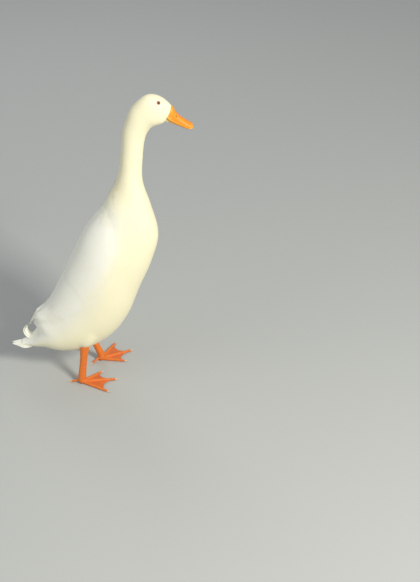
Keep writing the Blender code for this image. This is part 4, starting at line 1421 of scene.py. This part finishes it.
class DRAKE_OT_skin(Step, bpy.types.Operator):
    """Join the flesh of torso, neck, head, thighs and tail into one skin, sunk under the coat"""

    bl_idname = "drake.skin"
    bl_label = "Skin"

    nodes = ("torso", "neck", "head", "thigh_left", "thigh_right", "tail")

    def sheath(self):
        """The feathered skin that reaches forward over the base of the bill."""
        obj = copy_node("bill_upper", "sheath")
        modify(obj, "DISPLACE", strength=SHEATH_DEPTH, mid_level=0.0)
        (low_z, low_x), (high_z, high_x) = FEATHER_LINE[3], FEATHER_LINE[5]
        slant = Vector((high_z - low_z, 0, -(high_x - low_x))).normalized()
        cuts = (((high_x, 0, high_z), (1, 0, 0)), ((low_x, 0, low_z), slant))
        for place, direction in cuts:
            plane = {"plane_co": Vector(place) + Vector(SHIFT), "plane_no": direction}
            edit(obj, lambda: bpy.ops.mesh.bisect(use_fill=True, clear_outer=True, **plane))
        return obj

    def execute(self, context):
        parts = [copy_node(f"thigh_{side}", f"thigh_copy_{side}") for side in SIDES]
        for obj in parts:
            points, normals = corners(obj), directions(obj)
            depth = THIGH_SUNK[0] + THIGH_SUNK[1] * ease(0.095, 0.115, points[:, 2])
            move_corners(obj, points - normals * depth[:, None])
        low, high = BODY_ENDS
        trunk, _, _ = shaped_sphere(
            "trunk", 220, 72, lambda part, turn: outline_points(low + (high - low) * part, turn)[1]
        )
        skin = join("skin", [*parts, trunk, self.sheath()])
        modify(skin, "REMESH", mode="VOXEL", voxel_size=SKIN_VOXEL)
        modify(skin, "SMOOTH", factor=0.5, iterations=8)
        body = SURFACES["body"] = measure_body(skin)
        SURFACES["wing"] = wing_surface()
        SURFACES["coat"] = body.raised(swell)
        self.sink(skin, body)
        dress(skin, "down", self.nodes)
        return {"FINISHED"}

    def sink(self, skin, body):
        """Sinks the skin by the coat's depth, makes the sockets of the eyes, and notes its tone."""
        rows, columns = body.points.shape[:2]
        tree = KDTree(rows * columns)
        for number, point in enumerate(body.points.reshape(-1, 3)):
            tree.insert(point, number)
        tree.balance()
        points, normals = corners(skin), directions(skin)
        nearest = np.array([tree.find(point)[1] for point in points])
        along = body.start[0] + (nearest // columns) * body.step[0]
        around = (nearest % columns) * body.step[1]
        depth = coat_sizes(along)[4]
        socket = 1 - ease(LID_RADIUS - 0.0010, LID_RADIUS + 0.0003, eye_distance(points))
        move_corners(skin, points - normals * (depth + socket * SOCKET_DEPTH)[:, None])
        note(skin, "tone", tone(along, around))


class DRAKE_OT_coat(Step, bpy.types.Operator):
    """Cover the body, neck and head with small overlapping feathers"""

    bl_idname = "drake.coat"
    bl_label = "Coat"

    def execute(self, context):
        for name, (start, end, outline, columns) in COAT_PIECES.items():
            dress(grow_coat(name, start, end, outline, columns), "feather")
        return {"FINISHED"}


class DRAKE_OT_wings(Step, bpy.types.Operator):
    """Lay the folded wings over the back, with flight feathers, coverts and scapulars"""

    bl_idname = "drake.wings"
    bl_label = "Wings"

    def execute(self, context):
        for side in SIDES:
            core = wing_pad(side)
            note(core, "tone", np.full(len(core.data.vertices), WING_TONE))
            dress(core, "down")
            feathers = feather_object(f"wing_feathers_{side}", wing_feathers(side))
            dress(feathers, "feather", [f"wing_{side}"])
        return {"FINISHED"}


class DRAKE_OT_tail(Step, bpy.types.Operator):
    """Set the tail fan and the drake's curled feathers"""

    bl_idname = "drake.tail"
    bl_label = "Tail"

    def execute(self, context):
        dress(feather_object("tail_feathers", tail_feathers()), "feather", ["tail"])
        return {"FINISHED"}


class DRAKE_OT_bill(Step, bpy.types.Operator):
    """Shape the upper and lower bill with nostrils and nail"""

    bl_idname = "drake.bill"
    bl_label = "Bill"

    def execute(self, context):
        dress(make_upper_bill(), "bill", ["bill_upper"])
        dress(make_lower_bill(), "bill", ["bill_lower"])
        return {"FINISHED"}


class DRAKE_OT_eyes(Step, bpy.types.Operator):
    """Set the eyes in their sockets, each in a ring of bare lid"""

    bl_idname = "drake.eyes"
    bl_label = "Eyes"

    def execute(self, context):
        for side, sign in SIDES.items():
            centre, outward = eye_place(side)
            centre = Vector(centre) - Vector(outward) * EYE_SUNK
            self.eyeball(side, centre, EYE_AXIS * (1, sign, 1))
            self.lid(side, centre, outward)
        return {"FINISHED"}

    def eyeball(self, side, centre, axis):
        """The eyeball with its bulging cornea, each vertex's angle from its axis noted for the iris."""
        ball = {"segments": 48, "ring_count": 32, "radius": EYE_RADIUS}
        eye = primitive(f"eyeball_{side}", bpy.ops.mesh.primitive_uv_sphere_add, **ball)
        points = corners(eye)
        angle = np.arccos(np.clip(points[:, 2] / EYE_RADIUS, -1, 1))
        move_corners(eye, points * (1 + EYE_BULGE * (1 - ease(0.1, 0.6, angle)))[:, None])
        note(eye, "angle", angle)
        stand(eye, centre, axis)
        dress(eye, "eye", [f"eye_{side}"])

    def lid(self, side, centre, axis):
        """A soft oval ring, low outside and deep inside, with fine creases across it."""
        ring = {"major_segments": 64, "minor_segments": 16, "minor_radius": LID_THICKNESS}
        add = bpy.ops.mesh.primitive_torus_add
        lid = primitive(f"lid_{side}", add, major_radius=LID_RADIUS + 0.0002, **ring)
        points = corners(lid)
        creases = 1 + 0.05 * np.sin(np.arctan2(points[:, 1], points[:, 0]) * 31)
        thick = np.where(points[:, 2] < 0, 2.6, 0.75)
        on_eye = math.sqrt(EYE_RADIUS**2 - LID_RADIUS**2) - 0.0001
        points[:, 2] = points[:, 2] * creases * thick + on_eye
        points[:, :2] *= (1.0, 0.94)
        move_corners(lid, points)
        stand(lid, centre, axis)
        dress(lid, "lid")


class DRAKE_OT_legs(Step, bpy.types.Operator):
    """Shape the scaled legs, webbed feet and claws"""

    bl_idname = "drake.legs"
    bl_label = "Legs"

    def execute(self, context):
        for side in SIDES:
            dress(make_leg(side), "leg", [f"shank_{side}", f"foot_{side}"])
            nodes = [f"claw_{side}_{toe}" for toe in TOES]
            claws = join(f"claws_{side}", [copy_node(node, f"{node}_copy") for node in nodes])
            modify(claws, "DISPLACE", strength=CLAW_SWELLING, mid_level=0.0)
            modify(claws, "SUBSURF", levels=3, render_levels=3)
            points = corners(claws)
            points[:, 2] = np.maximum(points[:, 2], CLAW_GAP)
            move_corners(claws, points)
            dress(claws, "claw", nodes)
        return {"FINISHED"}


class DRAKE_OT_stage(Step, bpy.types.Operator):
    """Set a plain floor, soft studio light and the camera"""

    bl_idname = "drake.stage"
    bl_label = "Stage"

    def lamp(self, name, place, target, power, size, colour):
        """A square soft light that shines on the target."""
        data = bpy.data.lights.new(name, "AREA")
        data.energy = power
        data.size = size
        data.color = colour
        lamp = bpy.data.objects.new(name, data)
        lamp.location = place
        lamp.rotation_euler = (Vector(target) - Vector(place)).to_track_quat("-Z", "Y").to_euler()
        bpy.context.scene.collection.objects.link(lamp)

    def execute(self, context):
        stage = context.scene.drake_stage
        floor = primitive("floor", bpy.ops.mesh.primitive_plane_add, size=12, location=(0, 0, -0.0004))
        floor.data.transform(floor.matrix_world)
        floor.matrix_world = Matrix.Identity(4)
        floor.data.materials.append(MATERIALS["floor"])
        chest = (0.03, MIDDLE, 0.33)
        self.lamp("key", (1.7, -1.95, 2.1), chest, stage.key, 0.7, WARM)
        self.lamp("fill", (-2.0, -1.2, 1.4), chest, stage.fill, 1.8, COOL)
        self.lamp("rim", (-0.6, 2.0, 1.8), chest, stage.fill, 1.2, COOL)
        world = bpy.data.worlds.new("room")
        world.use_nodes = True
        room = world.node_tree.nodes["Background"].inputs
        room["Color"].default_value = (0.93, 0.96, 1.0, 1.0)
        room["Strength"].default_value = stage.sky
        context.scene.world = world
        context.scene.view_settings.view_transform = "Standard"
        data = bpy.data.cameras.new("camera")
        data.sensor_fit = "VERTICAL"
        data.sensor_height = 36.0
        data.lens = stage.lens
        camera = bpy.data.objects.new("camera", data)
        camera.location = Vector(stage.camera) + Vector((SHIFT[0], SHIFT[1], 0))
        camera.rotation_euler = (math.pi / 2 - stage.pitch, 0, 0)
        context.scene.collection.objects.link(camera)
        context.scene.camera = camera
        return {"FINISHED"}


OPERATORS = (
    DRAKE_OT_materials,
    DRAKE_OT_stage,
    DRAKE_OT_skin,
    DRAKE_OT_coat,
    DRAKE_OT_wings,
    DRAKE_OT_tail,
    DRAKE_OT_bill,
    DRAKE_OT_eyes,
    DRAKE_OT_legs,
)


class DRAKE_PT_panel(bpy.types.Panel):
    """The pieces of the drake, in the order in which they are made"""

    bl_idname = "DRAKE_PT_panel"
    bl_label = "Runner Drake"
    bl_space_type = "VIEW_3D"
    bl_region_type = "UI"
    bl_category = "Runner Drake"

    def draw(self, context):
        for operator in OPERATORS:
            self.layout.operator(operator.bl_idname)
        for name in SETTINGS:
            box = self.layout.box()
            for key in SETTINGS[name].__annotations__:
                box.prop(getattr(context.scene, name), key)


CLASSES = (*SETTINGS.values(), *OPERATORS, DRAKE_PT_panel)


def register():
    for cls in CLASSES:
        bpy.utils.register_class(cls)
    for name, group in SETTINGS.items():
        setattr(bpy.types.Scene, name, PointerProperty(type=group))


def unregister():
    for name in SETTINGS:
        delattr(bpy.types.Scene, name)
    for cls in reversed(CLASSES):
        bpy.utils.unregister_class(cls)


def main():
    register()
    for operator in OPERATORS:
        group, name = operator.bl_idname.split(".")
        getattr(getattr(bpy.ops, group), name)()
    bpy.context.view_layer.update()


if __name__ == "__main__":
    main()
